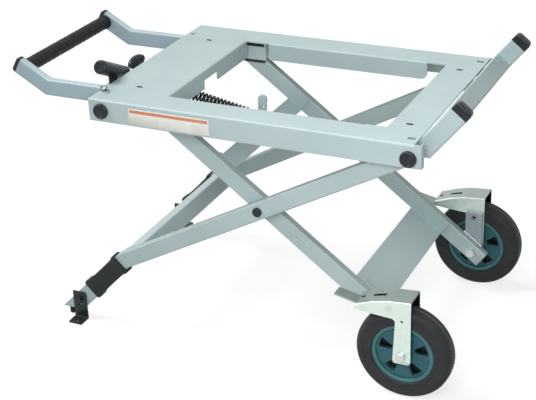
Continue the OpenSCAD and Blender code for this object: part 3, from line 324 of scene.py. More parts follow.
def from_bmesh(name, bm, node, material=None, smooth=35, replace=True, closed=True):
    """A piece from a bmesh, smooth except at edges sharper than that many degrees."""
    if closed:
        bmesh.ops.recalc_face_normals(bm, faces=bm.faces)
    mesh = bpy.data.meshes.new(name)
    bm.to_mesh(mesh)
    bm.free()
    mesh.shade_smooth()
    mesh.set_sharp_from_angle(angle=math.radians(smooth))
    piece = finished(bpy.data.objects.new(name, mesh), node, material)
    if replace:
        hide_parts(node)
    return piece


def whole(node):
    """A CAD node's mesh, with its split corners joined and its flat faces whole."""
    bm = bmesh.new()
    bm.from_mesh(nodes[node].data)
    bmesh.ops.remove_doubles(bm, verts=bm.verts, dist=0.004 * MM)
    bmesh.ops.dissolve_degenerate(bm, dist=0.002 * MM, edges=bm.edges)
    bmesh.ops.dissolve_limit(bm, angle_limit=math.radians(0.4), verts=bm.verts, edges=bm.edges)
    bm.normal_update()
    return bm


class Edge:
    """What the rolling rules ask about one edge."""

    def __init__(self, edge):
        a, b = edge.verts[0].co, edge.verts[1].co
        self.middle = (a + b) / 2
        self.length = (b - a).length
        self.run = (b - a).normalized()
        self.normals = [f.normal for f in edge.link_faces]
        self.convex = edge.is_convex

    def near(self, point, radius):
        """True within that radius of an axis along Y through the point."""
        return math.hypot(self.middle.x - point.x, self.middle.z - point.z) < radius


def rolled(node, rules, small=EDGE_ROUND, segments=3):
    """A copy of a CAD node with rolled edges. Each rule is (test, radius); the first that fits counts."""
    bm = whole(node)
    layer = bm.edges.layers.float.new("bevel_weight_edge")
    widest = max([small] + [radius for _, radius in rules])
    for edge in bm.edges:
        if len(edge.link_faces) != 2 or edge.calc_face_angle(0.0) < math.radians(28):
            continue
        seen = Edge(edge)
        radius = next((r for test, r in rules if test(seen)), small if seen.convex else 0)
        edge[layer] = radius / widest
    piece = from_bmesh(node + "_rolled", bm, node)
    bevel = piece.modifiers.new("rolled_edges", "BEVEL")
    bevel.limit_method = "WEIGHT"
    bevel.width = widest
    bevel.segments = segments
    bevel.use_clamp_overlap = False
    bevel.miter_outer = "MITER_ARC"
    keep_flats(piece)
    return piece


def keep_flats(piece):
    """Shades flat faces as flat beside their rounded edges."""
    normals = piece.modifiers.new("flat_faces", "WEIGHTED_NORMAL")
    normals.keep_sharp = True


def rounded(piece, angle):
    """Small rounds on the edges that turn by more than angle, in degrees."""
    bevel = piece.modifiers.new("edges", "BEVEL")
    bevel.width = EDGE_ROUND
    bevel.segments = 2
    bevel.limit_method = "ANGLE"
    bevel.angle_limit = math.radians(angle)
    bevel.use_clamp_overlap = True


def soften(node):
    """Keeps a CAD node, with its finish and with small rounds on its sharp edges."""
    piece = nodes[node]
    piece.data.materials.clear()
    piece.data.materials.append(finishes[slot_of[node]])
    weld = piece.modifiers.new("weld", "WELD")
    weld.merge_threshold = 0.004 * MM
    rounded(piece, 35)


def span(node, origin, run):
    """Lowest and highest distance of a node's points from origin, along run."""
    along = [(v.co - origin).dot(run) for v in nodes[node].data.vertices]
    return min(along), max(along)


def slope(angle):
    """A direction in the side view, at that angle above +X."""
    return Vector((math.cos(angle), 0, math.sin(angle)))


def skin(bm, rings, closed_ring=True, ends=True):
    """Joins rings of points, all as long as each other, with faces from ring to ring."""
    rows = [[bm.verts.new(p) for p in ring] for ring in rings]
    count = len(rows[0])
    for a, b in zip(rows, rows[1:]):
        for i in range(count if closed_ring else count - 1):
            j = (i + 1) % count
            bm.faces.new((a[i], a[j], b[j], b[i]))
    if ends:
        bm.faces.new(rows[0][::-1])
        bm.faces.new(rows[-1])
    return rows


def lathe(bm, profile, centre, axis, around=64, closed=False):
    """Turns a profile of (distance along the axis, radius) round an axis through centre."""
    axis = axis.normalized()
    side = axis.orthogonal().normalized()
    other = axis.cross(side)
    rings = []
    for along, radius in profile:
        ring = []
        for i in range(around):
            turn = 2 * math.pi * i / around
            ring.append(centre + axis * along + (side * math.cos(turn) + other * math.sin(turn)) * radius)
        rings.append(ring)
    if closed:
        rings.append(rings[0])
    skin(bm, rings, ends=not closed)
    if closed:
        bmesh.ops.remove_doubles(bm, verts=bm.verts, dist=SAME_PLACE)


def arc(middle, radius, start, stop, steps=6):
    """Points of an arc, as (along, out) pairs, from one angle to another in degrees."""
    return [(middle[0] + radius * math.cos(math.radians(start + (stop - start) * i / steps)),
             middle[1] + radius * math.sin(math.radians(start + (stop - start) * i / steps)))
            for i in range(steps + 1)]


def box_ring(centre, u, v, half_u, half_v, radius, steps=5):
    """A rounded rectangle of points in the plane of u and v."""
    ring = []
    for su, sv, start in ((1, 1, 0), (-1, 1, 90), (-1, -1, 180), (1, -1, 270)):
        corner = centre + u * (su * (half_u - radius)) + v * (sv * (half_v - radius))
        for i in range(steps + 1):
            turn = math.radians(start + 90 * i / steps)
            ring.append(corner + (u * math.cos(turn) + v * math.sin(turn)) * radius)
    return ring


def wire(bm, points, radius, sides=10):
    """A round wire along points, with a frame that doesn't twist."""
    rings = []
    side = None
    for i, point in enumerate(points):
        run = (points[min(i + 1, len(points) - 1)] - points[max(i - 1, 0)]).normalized()
        side = run.orthogonal() if side is None else side - run * side.dot(run)
        side.normalize()
        other = run.cross(side)
        turns = [2 * math.pi * k / sides for k in range(sides)]
        rings.append([point + (side * math.cos(t) + other * math.sin(t)) * radius for t in turns])
    skin(bm, rings)


def bead(bm, start, end, radius, up):
    """A weld bead: overlapping scales along a line."""
    length = (end - start).length
    run = (end - start).normalized()
    steps = max(3, round(length / (radius * 0.8)))
    side = up.cross(run).normalized()
    for i in range(steps + 1):
        size = radius * random.uniform(0.9, 1.1)
        place = start + run * (length * i / steps) + side * (radius * random.uniform(-0.1, 0.1))
        turn = Matrix((run * size, side * size, up * size * 0.75)).transposed().to_4x4()
        bmesh.ops.create_uvsphere(bm, u_segments=10, v_segments=6, radius=1,
                                  matrix=Matrix.Translation(place) @ turn)


# Tests that the rolling rules share

LONG = 60 * MM
SHEET_LONG = 20 * MM


def long_outer(e):
    return e.convex and e.length > LONG


def long_inner(e):
    return not e.convex and e.length > LONG


def round_end(point, bore):
    """The rim of a tube's pressed round end, but not its bore."""
    return lambda e: e.convex and e.near(point, TUBE_H / 2 + 1.5 * MM) and not e.near(point, bore)


# Legs, handle arms and feet: tubes with rolled corners

def tubes():
    corner, fillet = 3.6 * MM, 1.8 * MM
    bore = 8 * MM
    plain = [(long_outer, corner), (long_inner, fillet)]
    for side in SIDES:
        rolled("end_foot_" + side, plain, segments=4)
        arm = rolled("handle_arm_" + side, plain, segments=4)
        arm.data.materials[0] = ARM_PAINT_LIT_AND_SHADED
        for node, end in (("outer_leg_", joint_at["fold"]), ("inner_leg_", joint_at["shoe_turn_near"])):
            leg = rolled(node + side, [(round_end(end, bore), corner)] + plain, segments=4)
            leg.data.materials[0] = LEG_PAINT_DUST_AND_SHADE
    for node in ("lower_cross_beam", "end_foot_cross_tube"):
        rolled(node, plain, segments=4)
    for node in ("upper_channel", "lower_cross_plate"):
        rolled(node, [(lambda e: long_outer(e) and abs(e.run.y) > 0.9, 1.2 * MM)])


# Deck: one folded sheet, drawn as its outer skin and given its thickness by a modifier

SKIRT_PAST = 16 * MM
SKIRT_RETURN = 14 * MM
FOLD_R = 4 * MM
CUT_LEFT_IN, CUT_RIGHT_IN = 155 * MM, 77 * MM
CUT_NEAR_IN, CUT_FAR_IN = 67 * MM, 73 * MM
FLANGE_H, FLANGE_R = 40 * MM, 14 * MM
FLANGE_LEFT_IN, FLANGE_RIGHT_IN = 55 * MM, 44 * MM
NOTCH_W, NOTCH_H = 63 * MM, 19 * MM
SKIRT_END_R = 3 * MM
SAW_SLOT_LEFT_IN, SAW_SLOT_RIGHT_IN, SAW_SLOT_SIDE = 69 * MM, 41 * MM, 160 * MM
SAW_SLOT_L, SAW_SLOT_W = 15 * MM, 7 * MM
EDGE_SLOT_IN, EDGE_SLOT_SIDE = 13 * MM, 68 * MM
EDGE_SLOT_L, EDGE_SLOT_W = 12 * MM, 5 * MM
SQUARE_SLOT_IN, SQUARE_SLOT_SIDE = 14 * MM, 31 * MM
SQUARE_SLOT_L, SQUARE_SLOT_W = 16 * MM, 11 * MM
LINING, LINING_DROP = 0.3 * MM, 0.15 * MM


def slot_outline(x, y, length, width, steps=8):
    """A slot with round ends, along X."""
    reach = (length - width) / 2
    return (arc((x + reach, y), width / 2, -90, 90, steps)
            + arc((x - reach, y), width / 2, 90, 270, steps))


def rectangle(x, y, length, width):
    return [(x + sx * length / 2, y + sy * width / 2) for sx, sy in ((-1, -1), (1, -1), (1, 1), (-1, 1))]


def inside(point, loop):
    """True if a flat point lies within a loop of points."""
    odd = False
    for (ax, ay), (bx, by) in zip(loop, loop[1:] + loop[:1]):
        if (ay > point[1]) != (by > point[1]) and point[0] < ax + (point[1] - ay) * (bx - ax) / (by - ay):
            odd = not odd
    return odd


def flat_with_holes(bm, outline, holes, z):
    """A level face with holes, as triangles."""
    points, edges = [], []
    for loop in [outline] + holes:
        first = len(points)
        points += [Vector(p) for p in loop]
        edges += [(first + i, first + (i + 1) % len(loop)) for i in range(len(loop))]
    result = geometry.delaunay_2d_cdt(points, edges, [], 1, SAME_PLACE)
    made, faces = result[0], result[2]
    verts = [bm.verts.new((p.x, p.y, z)) for p in made]
    for face in faces:
        middle = sum((made[i] for i in face), Vector((0, 0))) / len(face)
        if not any(inside(middle, hole) for hole in holes):
            bm.faces.new([verts[i] for i in face])


def slot_walls(slots, top):
    """Thin dark linings on the walls inside the slots, as painted shade."""
    bm = bmesh.new()
    for x, y, length, width in slots:
        outer, inner = (slot_outline(x, y, length - d, width - d) for d in (0, 2 * LINING))
        z0, z1 = top - SHEET, top - LINING_DROP
        rings = [[Vector((*p, z)) for p in loop]
                 for loop, z in ((outer, z1), (outer, z0), (inner, z0), (inner, z1), (outer, z1))]
        skin(bm, rings, ends=False)
    bmesh.ops.remove_doubles(bm, verts=bm.verts, dist=SAME_PLACE)
    from_bmesh("slot_walls", bm, "top_plate", SLOT_SHADE, replace=False)


def fold_down(bm, row, out, steps=6):
    """Rolls a sheet's edge over by a quarter turn, and gives the row where its flange starts."""
    rows = []
    for i in range(steps + 1):
        turn = math.pi / 2 * i / steps
        shift = out * (FOLD_R * math.sin(turn)) - UP * (FOLD_R * (1 - math.cos(turn)))
        rows.append([Vector(p) + shift for p in row])
    skin(bm, rows, closed_ring=False, ends=False)
    return rows[-1]


def face(bm, *points):
    bm.faces.new([bm.verts.new(p) for p in points])


def side_skirt(bm, x0, x1, x2, y, z0, top):
    """A skirt at y: folded down along the deck, then run on past it to a turned-in end."""
    out = Vector((0, math.copysign(1, y), 0))
    inner = y - out.y * FOLD_R
    a, b = fold_down(bm, [(x0, inner, top), (x1, inner, top)], out)
    face(bm, a, b, (x1, y, z0), (x0, y, z0))
    corner = SKIRT_END_R
    face(bm, b, (x1, y, top), (x2 - corner, y, top), (x2 - corner, y, z0), (x1, y, z0))
    turned = [(x2 - corner + corner * math.sin(t), y - out.y * corner * (1 - math.cos(t)))
              for t in (math.pi / 2 * i / 5 for i in range(6))]
    turned.append((x2, y - out.y * SKIRT_RETURN))
    skin(bm, [[Vector((px, py, z)) for px, py in turned] for z in (z0, top)], closed_ring=False, ends=False)


def long_flange(bm, x0, x1, y, top):
    """A flange at a long side of the cut-out, with one round lower corner."""
    out = Vector((0, -math.copysign(1, y), 0))
    inner = y - out.y * FOLD_R
    a, b = fold_down(bm, [(x0, inner, top), (x1, inner, top)], out)
    z0 = top - FLANGE_H
    corner = [Vector((px, y, pz)) for px, pz in arc((x1 - FLANGE_R, z0 + FLANGE_R), FLANGE_R, 0, -90, 8)]
    face(bm, a, b, *corner, (x0, y, z0))


def left_flange(bm, x, y0, y1, top):
    """The flange at the cut-out's left side, with a notch over the spring."""
    half = NOTCH_W / 2
    row = fold_down(bm, [(x - FOLD_R, y, top) for y in (y0, -half, half, y1)], Vector((1, 0, 0)))
    z0 = top - FLANGE_H
    z1 = z0 + NOTCH_H
    face(bm, row[0], row[1], (x, -half, z1), (x, -half, z0), (x, y0, z0))
    face(bm, row[1], row[2], (x, half, z1), (x, -half, z1))
    face(bm, row[2], row[3], (x, y1, z0), (x, half, z0), (x, half, z1))


def deck():
    low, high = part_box("top_plate")
    x0, x1 = low.x, high.x - SKIRT_PAST
    side, top, r = high.y, high.z, FOLD_R
    cut_x0, cut_x1 = x0 + CUT_LEFT_IN, x1 - CUT_RIGHT_IN
    cut_y0, cut_y1 = CUT_NEAR_IN - side, side - CUT_FAR_IN
    fold_x0, fold_x1 = cut_x0 + FLANGE_LEFT_IN, cut_x1 - FLANGE_RIGHT_IN
    outline = [(x0, r - side), (x1, r - side), (x1, side - r), (x0, side - r)]
    cut_out = [(cut_x0 - r, y) for y in (cut_y0, -NOTCH_W / 2, NOTCH_W / 2, cut_y1)]
    cut_out += [(cut_x0, cut_y1), (fold_x0, cut_y1), (fold_x0, cut_y1 + r), (fold_x1, cut_y1 + r)]
    cut_out += [(fold_x1, cut_y1), (cut_x1, cut_y1), (cut_x1, cut_y0), (fold_x1, cut_y0)]
    cut_out += [(fold_x1, cut_y0 - r), (fold_x0, cut_y0 - r), (fold_x0, cut_y0), (cut_x0, cut_y0)]
    saw_x = (x0 + SAW_SLOT_LEFT_IN, x1 - SAW_SLOT_RIGHT_IN)
    saw_y = (-SAW_SLOT_SIDE, SAW_SLOT_SIDE)
    slots = [(x, y, SAW_SLOT_L, SAW_SLOT_W) for x in saw_x for y in saw_y]
    slots.append((x0 + EDGE_SLOT_IN, side - EDGE_SLOT_SIDE, EDGE_SLOT_L, EDGE_SLOT_W))
    holes = [cut_out] + [slot_outline(*slot) for slot in slots]
    square_y = (SQUARE_SLOT_SIDE - side, side - SQUARE_SLOT_SIDE)
    holes += [rectangle(x1 - SQUARE_SLOT_IN, y, SQUARE_SLOT_L, SQUARE_SLOT_W) for y in square_y]
    slot_walls(slots, top)
    bm = bmesh.new()
    flat_with_holes(bm, outline, holes, top)
    for y in (-side, side):
        side_skirt(bm, x0, x1, high.x, y, low.z, top)
    for y in (cut_y0, cut_y1):
        long_flange(bm, fold_x0, fold_x1, y, top)
    left_flange(bm, cut_x0, cut_y0, cut_y1, top)
    bmesh.ops.remove_doubles(bm, verts=bm.verts, dist=0.01 * MM)
    bmesh.ops.recalc_face_normals(bm, faces=bm.faces)
    bm.faces.ensure_lookup_table()
    if max(bm.faces, key=lambda f: abs(f.normal.z) * f.calc_area()).normal.z < 0:
        bmesh.ops.reverse_faces(bm, faces=bm.faces)
    piece = from_bmesh("deck_sheet", bm, "top_plate", smooth=40, closed=False)
    thick = piece.modifiers.new("thickness", "SOLIDIFY")
    thick.thickness = SHEET
    thick.offset = -1
    thick.use_even_offset = True
    rounded(piece, 50)
    keep_flats(piece)


# Rails and brackets: folded sheet

def sheets():
    bend_r = 1.4 * MM

    def upright(e):
        return e.convex and abs(e.run.z) > 0.9 and e.length > SHEET_LONG

    def crosswise(e):
        return e.convex and abs(e.run.y) > 0.9 and e.length > SHEET_LONG

    for side in SIDES:
        rolled("rail_" + side, [(upright, bend_r)])
    for node in ("lever_bracket", "paddle_bracket"):
        rolled(node, [(crosswise, bend_r)])
    for node in ("hook_bracket", "spring_anchor"):
        rolled(node, [], small=0.8 * MM)


# Forks, pedals and what is on them

# The ring pressed round the pedal's pin, as (out, radius) in millimetres
BOSS = [(-0.2, 7.2), (0.35, 7.0), (0.5, 6.4), (0.4, 5.8), (-0.2, 5.6)]
POST_BEAD_R = 4.2 * MM
POST_BEAD_BEFORE, POST_BEAD_AFTER = 40 * MM, 7 * MM


def fork(side):
    """A folded fork with its brake pedal, the ring at the pedal's pin, and the weld at its post."""
    node = "fork_" + side
    low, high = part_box(node)

    def fold(e):
        on_side = min(abs(e.middle.y - low.y), abs(e.middle.y - high.y)) < 0.5 * MM
        on_top = any(n.z > 0.8 for n in e.normals)
        return e.convex and on_side and on_top and e.length > 8 * MM

    rolled(node, [(fold, 2.4 * MM)], small=0.5 * MM, segments=4)
    pedal = rolled("brake_pedal_" + side, [], small=0.5 * MM)
    pedal.data.materials[0] = PEDAL_STEEL_SHADED
    outer = (low if SIDES[side] < 0 else high).y
    pin = joint_at["pedal_press_" + side]
    bm = bmesh.new()
    ring = [(a * MM, r * MM) for a, r in BOSS]
    lathe(bm, ring, Vector((pin.x, outer, pin.z)), ACROSS * SIDES[side], 32, closed=True)
    from_bmesh("fork_boss_" + side, bm, node, replace=False)
    weld_post(side)


def weld_post(side):
    """The bead that joins a fork's post to the inner leg's upper edge."""
    axle = joint_at["wheel_spin_" + side]
    low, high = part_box("inner_leg_" + side)
    outer = (low if SIDES[side] < 0 else high).y
    run = slope(-INNER_SLOPE)
    up = Vector((-run.z, 0, run.x))
    start = Vector((axle.x, outer, axle.z)) + up * (TUBE_H / 2 - 0.3 * MM)
    bm = bmesh.new()
    bead(bm, start - run * POST_BEAD_BEFORE, start + run * POST_BEAD_AFTER, POST_BEAD_R, up)
    from_bmesh("post_weld_" + side, bm, "fork_posts", WELD_STEEL_HIGHLIGHT, smooth=60, replace=False)


# Wheels

RIM_SEAT_R = 65.1 * MM
SHOULDER_R = 13 * MM
FLANK_STEP = 0.7 * MM
SEAM_W, SEAM_H = 0.9 * MM, 0.6 * MM


def tyre(side):
    """A solid tyre, turned from one closed profile, with a stepped flank and a seam on its tread."""
    node = "tyre_" + side
    low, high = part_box(node)
    half, radius = (high.y - low.y) / 2, (high.z - low.z) / 2
    tread = radius - SEAM_H
    flank = half - 0.3 * MM
    inner = flank - FLANK_STEP

    # One half of the profile, from the rim seat over the flank to the middle of the tread
    side_half = [(half - 3 * MM, RIM_SEAT_R), (flank, RIM_SEAT_R + 2.5 * MM), (flank, RIM_SEAT_R + 7 * MM),
                 (inner, RIM_SEAT_R + 8 * MM), (inner, radius - SHOULDER_R - 3.5 * MM),
                 (flank, radius - SHOULDER_R - 2.5 * MM)]
    side_half += arc((half - SHOULDER_R, tread - SHOULDER_R), SHOULDER_R, 12, 90, 10)
    side_half += [(SEAM_W * 1.5, tread + 0.05 * MM), (SEAM_W * 0.7, radius - 0.1 * MM)]
    side_half += [(SEAM_W * 0.4, radius)]
    profile = side_half + [(-a, r) for a, r in reversed(side_half)]
    bm = bmesh.new()
    lathe(bm, profile, joint_at["wheel_spin_" + side], ACROSS * SIDES[side], 144, closed=True)
    from_bmesh(node + "_moulded", bm, node, smooth=28)


def rim(side):
    """The moulded rim, with a bead beside the tyre on both faces, coloured lighter as painted highlight."""
    node = "rim_" + side
    low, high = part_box("tyre_" + side)
    axle = joint_at["wheel_spin_" + side]
    hub_bore = 8 * MM
    rolled(node, [(lambda e: e.convex and not e.near(axle, hub_bore), 1.1 * MM)])
    bm = bmesh.new()
    face_at = (high.y - low.y) / 2 - 2.2 * MM
    bead_mm = [(3, 57.4), (1, 58.2), (0, 60), (0, 63.4), (0.8, 64.9), (3.5, 64.9), (6, 59)]
    ring = [(face_at - depth * MM, r * MM) for depth, r in bead_mm]
    for out in (SIDES[side], -SIDES[side]):
        lathe(bm, ring, axle, ACROSS * out, 96, closed=True)
    from_bmesh("rim_bead_" + side, bm, node, RIM_BEAD_HIGHLIGHT, replace=False)


# Handle grip, release handle and paddle

GRIP_COLLAR = 9 * MM
GRIP_PITCH, GRIP_STARTS = 96 * MM, 6
GRIP_RIB = 5.5 * MM
GRIP_GROOVE = 2.2 * MM


def grip_radius(radius, y, turn, from_end):
    """The grip's radius at one point: winding swells, fine ribs and roughness, and a collar at each end."""
    if from_end < GRIP_COLLAR:
        return radius + 0.6 * MM - 1.2 * MM * max(0, 1 - from_end / (1.5 * MM)) ** 2
    if from_end < GRIP_COLLAR + 1.5 * MM:
        return radius - GRIP_GROOVE
    wander = 0.5 * math.sin(y / (21 * MM)) + 0.35 * math.sin(y / (7.7 * MM) + 1.3)
    swell = 0.5 + 0.5 * math.cos(2 * math.pi * GRIP_STARTS * y / GRIP_PITCH + 3 * turn + wander)
    rib = 0.5 + 0.5 * math.cos(2 * math.pi * y / GRIP_RIB - 5 * turn + 2 * wander)
    rough = noise.noise(Vector((1.6 * math.cos(turn), 1.6 * math.sin(turn), y / (7 * MM))))
    return radius - 0.4 * MM * (1 - swell) ** 2 - 0.25 * MM * (1 - rib) ** 2 - 1.3 * MM * abs(rough)


def handle_grip():
    node = "handle_grip"
    low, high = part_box(node)
    middle = (low + high) / 2
    radius = (high.z - low.z) / 2
    length = high.y - low.y
    rows, around = 340, 96
    bm = bmesh.new()
    rings = []
    for i in range(rows + 1):
        y = length * (i / rows - 0.5)
        ring = []
        for k in range(around):
            turn = 2 * math.pi * k / around
            r = grip_radius(radius, y, turn, length / 2 - abs(y))
            ring.append(middle + Vector((math.cos(turn) * r, y, math.sin(turn) * r)))
        rings.append(ring)
    skin(bm, rings)
    from_bmesh("handle_grip_ribbed", bm, node, smooth=50)


def release_grip():
    """The T handle: a round bar with dished ends, on a neck that hides the stem's top."""
    node = "release_grip"
    low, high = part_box(node)
    middle = (low + high) / 2
    axis = Vector((0, -math.cos(RELEASE_TILT), math.sin(RELEASE_TILT)))
    radius = (high.x - low.x) / 2
    half = (high.y - low.y - 2 * radius * math.sin(RELEASE_TILT)) / 2 / math.cos(RELEASE_TILT)
    r, sunk = 5 * MM, 0.5 * MM
    flat = radius - r
    dish = [(half - sunk, 0.3 * MM), (half - sunk, flat - 1.5 * MM), (half, flat - 0.5 * MM)]
    one_end = dish + arc((half - r, flat), r, 0, 90, 8)
    profile = one_end + [(-a, out) for a, out in reversed(one_end)]
    bm = bmesh.new()
    lathe(bm, profile, middle, axis, 72)
    stem_low, stem_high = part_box("release_stem")
    play = 1.5 * MM
    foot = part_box("lever_bushing")[1].z + play
    neck_at = Vector(((stem_low.x + stem_high.x) / 2, (stem_low.y + stem_high.y) / 2, foot))
    rise = middle.z - foot
    neck = [(0, 5.2), (0, 9.8), (0.6, 10.4), (5, 10.4), (rise / MM, 12)]
    lathe(bm, [(a * MM, out * MM) for a, out in neck], neck_at, UP, 40)
    from_bmesh("release_grip_moulded", bm, node, smooth=40)


PADDLE_TILT = math.radians(100)
PADDLE_L, PADDLE_H, PADDLE_W, PADDLE_T = 47 * MM, 28 * MM, 62 * MM, 12 * MM
PADDLE_R = 4.5 * MM
BARREL_HALF, BARREL_R, BARREL_BORE_R = 19.7 * MM, 8 * MM, 4.1 * MM


def paddle():
    """The lock paddle: an oval blade with a soft rim, on an arm from its barrel."""
    node = "lock_paddle"
    low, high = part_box(node)
    pin = joint_at["paddle_tip"]
    root = Vector((pin.x, (low.y + high.y) / 2, pin.z))
    run, through = slope(PADDLE_TILT), slope(PADDLE_TILT + math.pi / 2)
    middle = root + run * (PADDLE_L - PADDLE_H / 2)
    bm = bmesh.new()
    rim = arc((PADDLE_T / 2 - PADDLE_R, -PADDLE_R), PADDLE_R, 0, 90, 6)
    profile = [(-a, b) for a, b in rim] + [(a, b) for a, b in reversed(rim)]
    around = 56
    rings = []
    for shift, grow in profile:
        ring = []
        half_h, half_w = PADDLE_H / 2 + grow, PADDLE_W / 2 + grow
        for k in range(around):
            turn = 2 * math.pi * k / around
            ring.append(middle + through * shift + run * (half_h * math.sin(turn))
                        + ACROSS * (half_w * math.cos(turn)))
        rings.append(ring)
    skin(bm, rings)
    chamfer = 0.6 * MM
    one_end = [(BARREL_HALF, BARREL_BORE_R), (BARREL_HALF, BARREL_R - chamfer)]
    one_end += [(BARREL_HALF - chamfer, BARREL_R)]
    tube = [(-a, r) for a, r in one_end] + one_end[::-1]
    lathe(bm, tube, root, ACROSS, 40, closed=True)
    arm_t, arm_w = 5 * MM, BARREL_HALF - 4 * MM
    arm_ends = (5 * MM, 26 * MM)
    skin(bm, [box_ring(root + run * s, through, ACROSS, arm_t, arm_w, 1.5 * MM) for s in arm_ends])
    from_bmesh("lock_paddle_moulded", bm, node, smooth=50)


# Caps, bolts and small pieces

CAP_H, CAP_R, CAP_DOME_R = 8 * MM, 16.5 * MM, 3.2 * MM


def caps():
    """Round caps on the skirts, domed at the rim and dished in the middle."""
    h, r = CAP_H, CAP_R
    face_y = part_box("top_plate")[1].y
    profile = [(0, 0.3 * MM), (0, r - 0.6 * MM), (0.8 * MM, r), (h - 3.4 * MM, r)]
    profile += arc((h - CAP_DOME_R, r - CAP_DOME_R), CAP_DOME_R, 90, 0, 6)
    profile += [(h, r - 5 * MM), (h - 1.4 * MM, r - 6 * MM)]
    profile += [(h - 1.2 * MM, 7 * MM), (h - 0.5 * MM, 4 * MM), (h - 0.1 * MM, 0.3 * MM)]
    bm = bmesh.new()
    for side in SIDES.values():
        for x, z in cap_places():
            middle = Vector((x, side * face_y, z))
            lathe(bm, profile, middle, ACROSS * side, 56)
    from_bmesh("skirt_caps_moulded", bm, "skirt_caps", smooth=40)


def tube_caps(node, run):
    """End caps of tubes, rounded over towards run and left square where they meet the tube."""
    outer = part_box(node)[1].y
    flats = (outer, outer - TUBE_W)

    def shown(e):
        at_side = any(abs(abs(e.middle.y) - flat) < 0.3 * MM for flat in flats)
        at_base = any(n.dot(run) < -0.99 for n in e.normals)
        return e.convex and at_side and not at_base

    rolled(node, [(shown, 4 * MM)], small=0.3 * MM, segments=6)


def cap_places():
    """The caps' middles in the side view: at the fold's pivot and over the rail's bolt."""
    low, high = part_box("rail_bolts")
    pivot = joint_at["fold"]
    left = (low.x + high.x) / 2
    return [(pivot.x, pivot.z), (left, (low.z + high.z) / 2)]


def label():
    """The bare label: a thin pale plate with one coloured strip."""
    low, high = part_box("bare_label")
    middle = (low + high) / 2
    along = Vector((1, 0, 0))
    half_l, half_h, thick = (high.x - low.x) / 2, (high.z - low.z) / 2, high.y - low.y
    corner, chamfer = 2.5 * MM, 0.12 * MM
    bm = bmesh.new()
    skin(bm, [box_ring(Vector((middle.x, y, middle.z)), along, UP, half_l - d, half_h - d, corner)
              for y, d in ((high.y, 0), (low.y + chamfer, 0), (low.y, chamfer))])
    from_bmesh("bare_label_plate", bm, "bare_label", smooth=50)
    bm = bmesh.new()
    strip_half_h, margin_top, margin_side = 3.4 * MM, 2.2 * MM, 2.5 * MM
    strip_z = high.z - margin_top - strip_half_h
    skin(bm, [box_ring(Vector((middle.x, y, strip_z)), along, UP, half_l - margin_side, strip_half_h, 1 * MM)
              for y in (low.y + thick / 2, low.y - 0.05 * MM)])
    from_bmesh("label_strip", bm, "bare_label", strip_finish(), smooth=50, replace=False)


# One end of the sleeve, as (from its end, growth of its half sizes) in millimetres
SLEEVE_END = [(0, -3.2), (0, -0.9), (0.7, 0.6), (2.4, 1.5), (4.5, 1.8), (8, 1.8), (10.5, 1.4), (12.5, 0.5),
              (15, -0.6), (22, -1.2), (36, -1.5)]
SLEEVE_MIDDLE = -1.7
SLEEVE_WALL, SLEEVE_R = 3.8 * MM, 4.5 * MM


def sleeve(side):
    """Rubber sleeve: soft thick rims and a slightly drawn-in middle."""
    node = "leg_sleeve_" + side
    low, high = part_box("outer_leg_" + side)
    run = slope(math.pi + BENT_SLOPE)
    middle = sum(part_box(node), Vector()) / 2
    middle.y = (low.y + high.y) / 2
    start, stop = span(node, middle, run)
    up = Vector((-run.z, 0, run.x))
    length = stop - start
    stations = [(s * MM, g * MM) for s, g in SLEEVE_END]
    stations += [(length / 2, SLEEVE_MIDDLE * MM)]
    stations += [(length - s * MM, g * MM) for s, g in reversed(SLEEVE_END)]
    rings = []
    for s, grow in stations:
        spot = middle + run * (start + s)
        half_h, half_w = TUBE_H / 2 + SLEEVE_WALL + grow, TUBE_W / 2 + SLEEVE_WALL + grow
        rings.append(box_ring(spot, up, ACROSS, half_h, half_w, max(0.6 * MM, SLEEVE_R + grow), 6))
    bm = bmesh.new()
    skin(bm, rings, ends=False)
    from_bmesh(node + "_moulded", bm, node, smooth=45)


def foot_bracket(side):
    node = "foot_bracket_" + side
    low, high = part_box(node)
    leg_side = high.y if SIDES[side] < 0 else low.y

    def bend(e):
        at_bend = abs(e.middle.y - leg_side) < 0.5 * MM and e.middle.z < low.z + MM
        return e.convex and at_bend and e.length > SHEET_LONG

    def inner_bend(e):
        return not e.convex and e.length > SHEET_LONG

    def sole_corner(e):
        return e.convex and abs(e.run.z) > 0.9 and e.length < 6 * MM and e.middle.z < low.z + 6 * MM

    rolled(node, [(bend, 4.5 * MM), (inner_bend, 2 * MM), (sole_corner, 3 * MM)], small=0.6 * MM, segments=5)


def spring():
    """The pull spring: a round wire that winds out from each end's straight lead."""
    node = "scissor_spring"
    anchor = joint_at["spring_swing"]
    points = [v.co for v in nodes[node].data.vertices]
    middle = sum(points, Vector()) / len(points)
    run = middle - anchor
    run.y = 0
    run.normalize()
    length = span(node, anchor, run)[1]
    lead = 1.5 * SPRING_WIRE
    coil = (SPRING_D - SPRING_WIRE) / 2
    up = Vector((-run.z, 0, run.x))
    per_curl = 20
    count = SPRING_CURLS * per_curl
    path = [anchor]
    for i in range(count + 1):
        out = min(1, min(i, count - i) / per_curl)
        r = coil * out * out * (3 - 2 * out)
        turn = 2 * math.pi * i / per_curl
        s = lead + (length - 2 * lead) * i / count
        path.append(anchor + run * s + ACROSS * (r * math.cos(turn)) + up * (r * math.sin(turn)))
    path.append(anchor + run * length)
    bm = bmesh.new()
    wire(bm, path, SPRING_WIRE / 2)
    piece = from_bmesh("scissor_spring_wire", bm, node, smooth=60)
    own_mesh(piece)


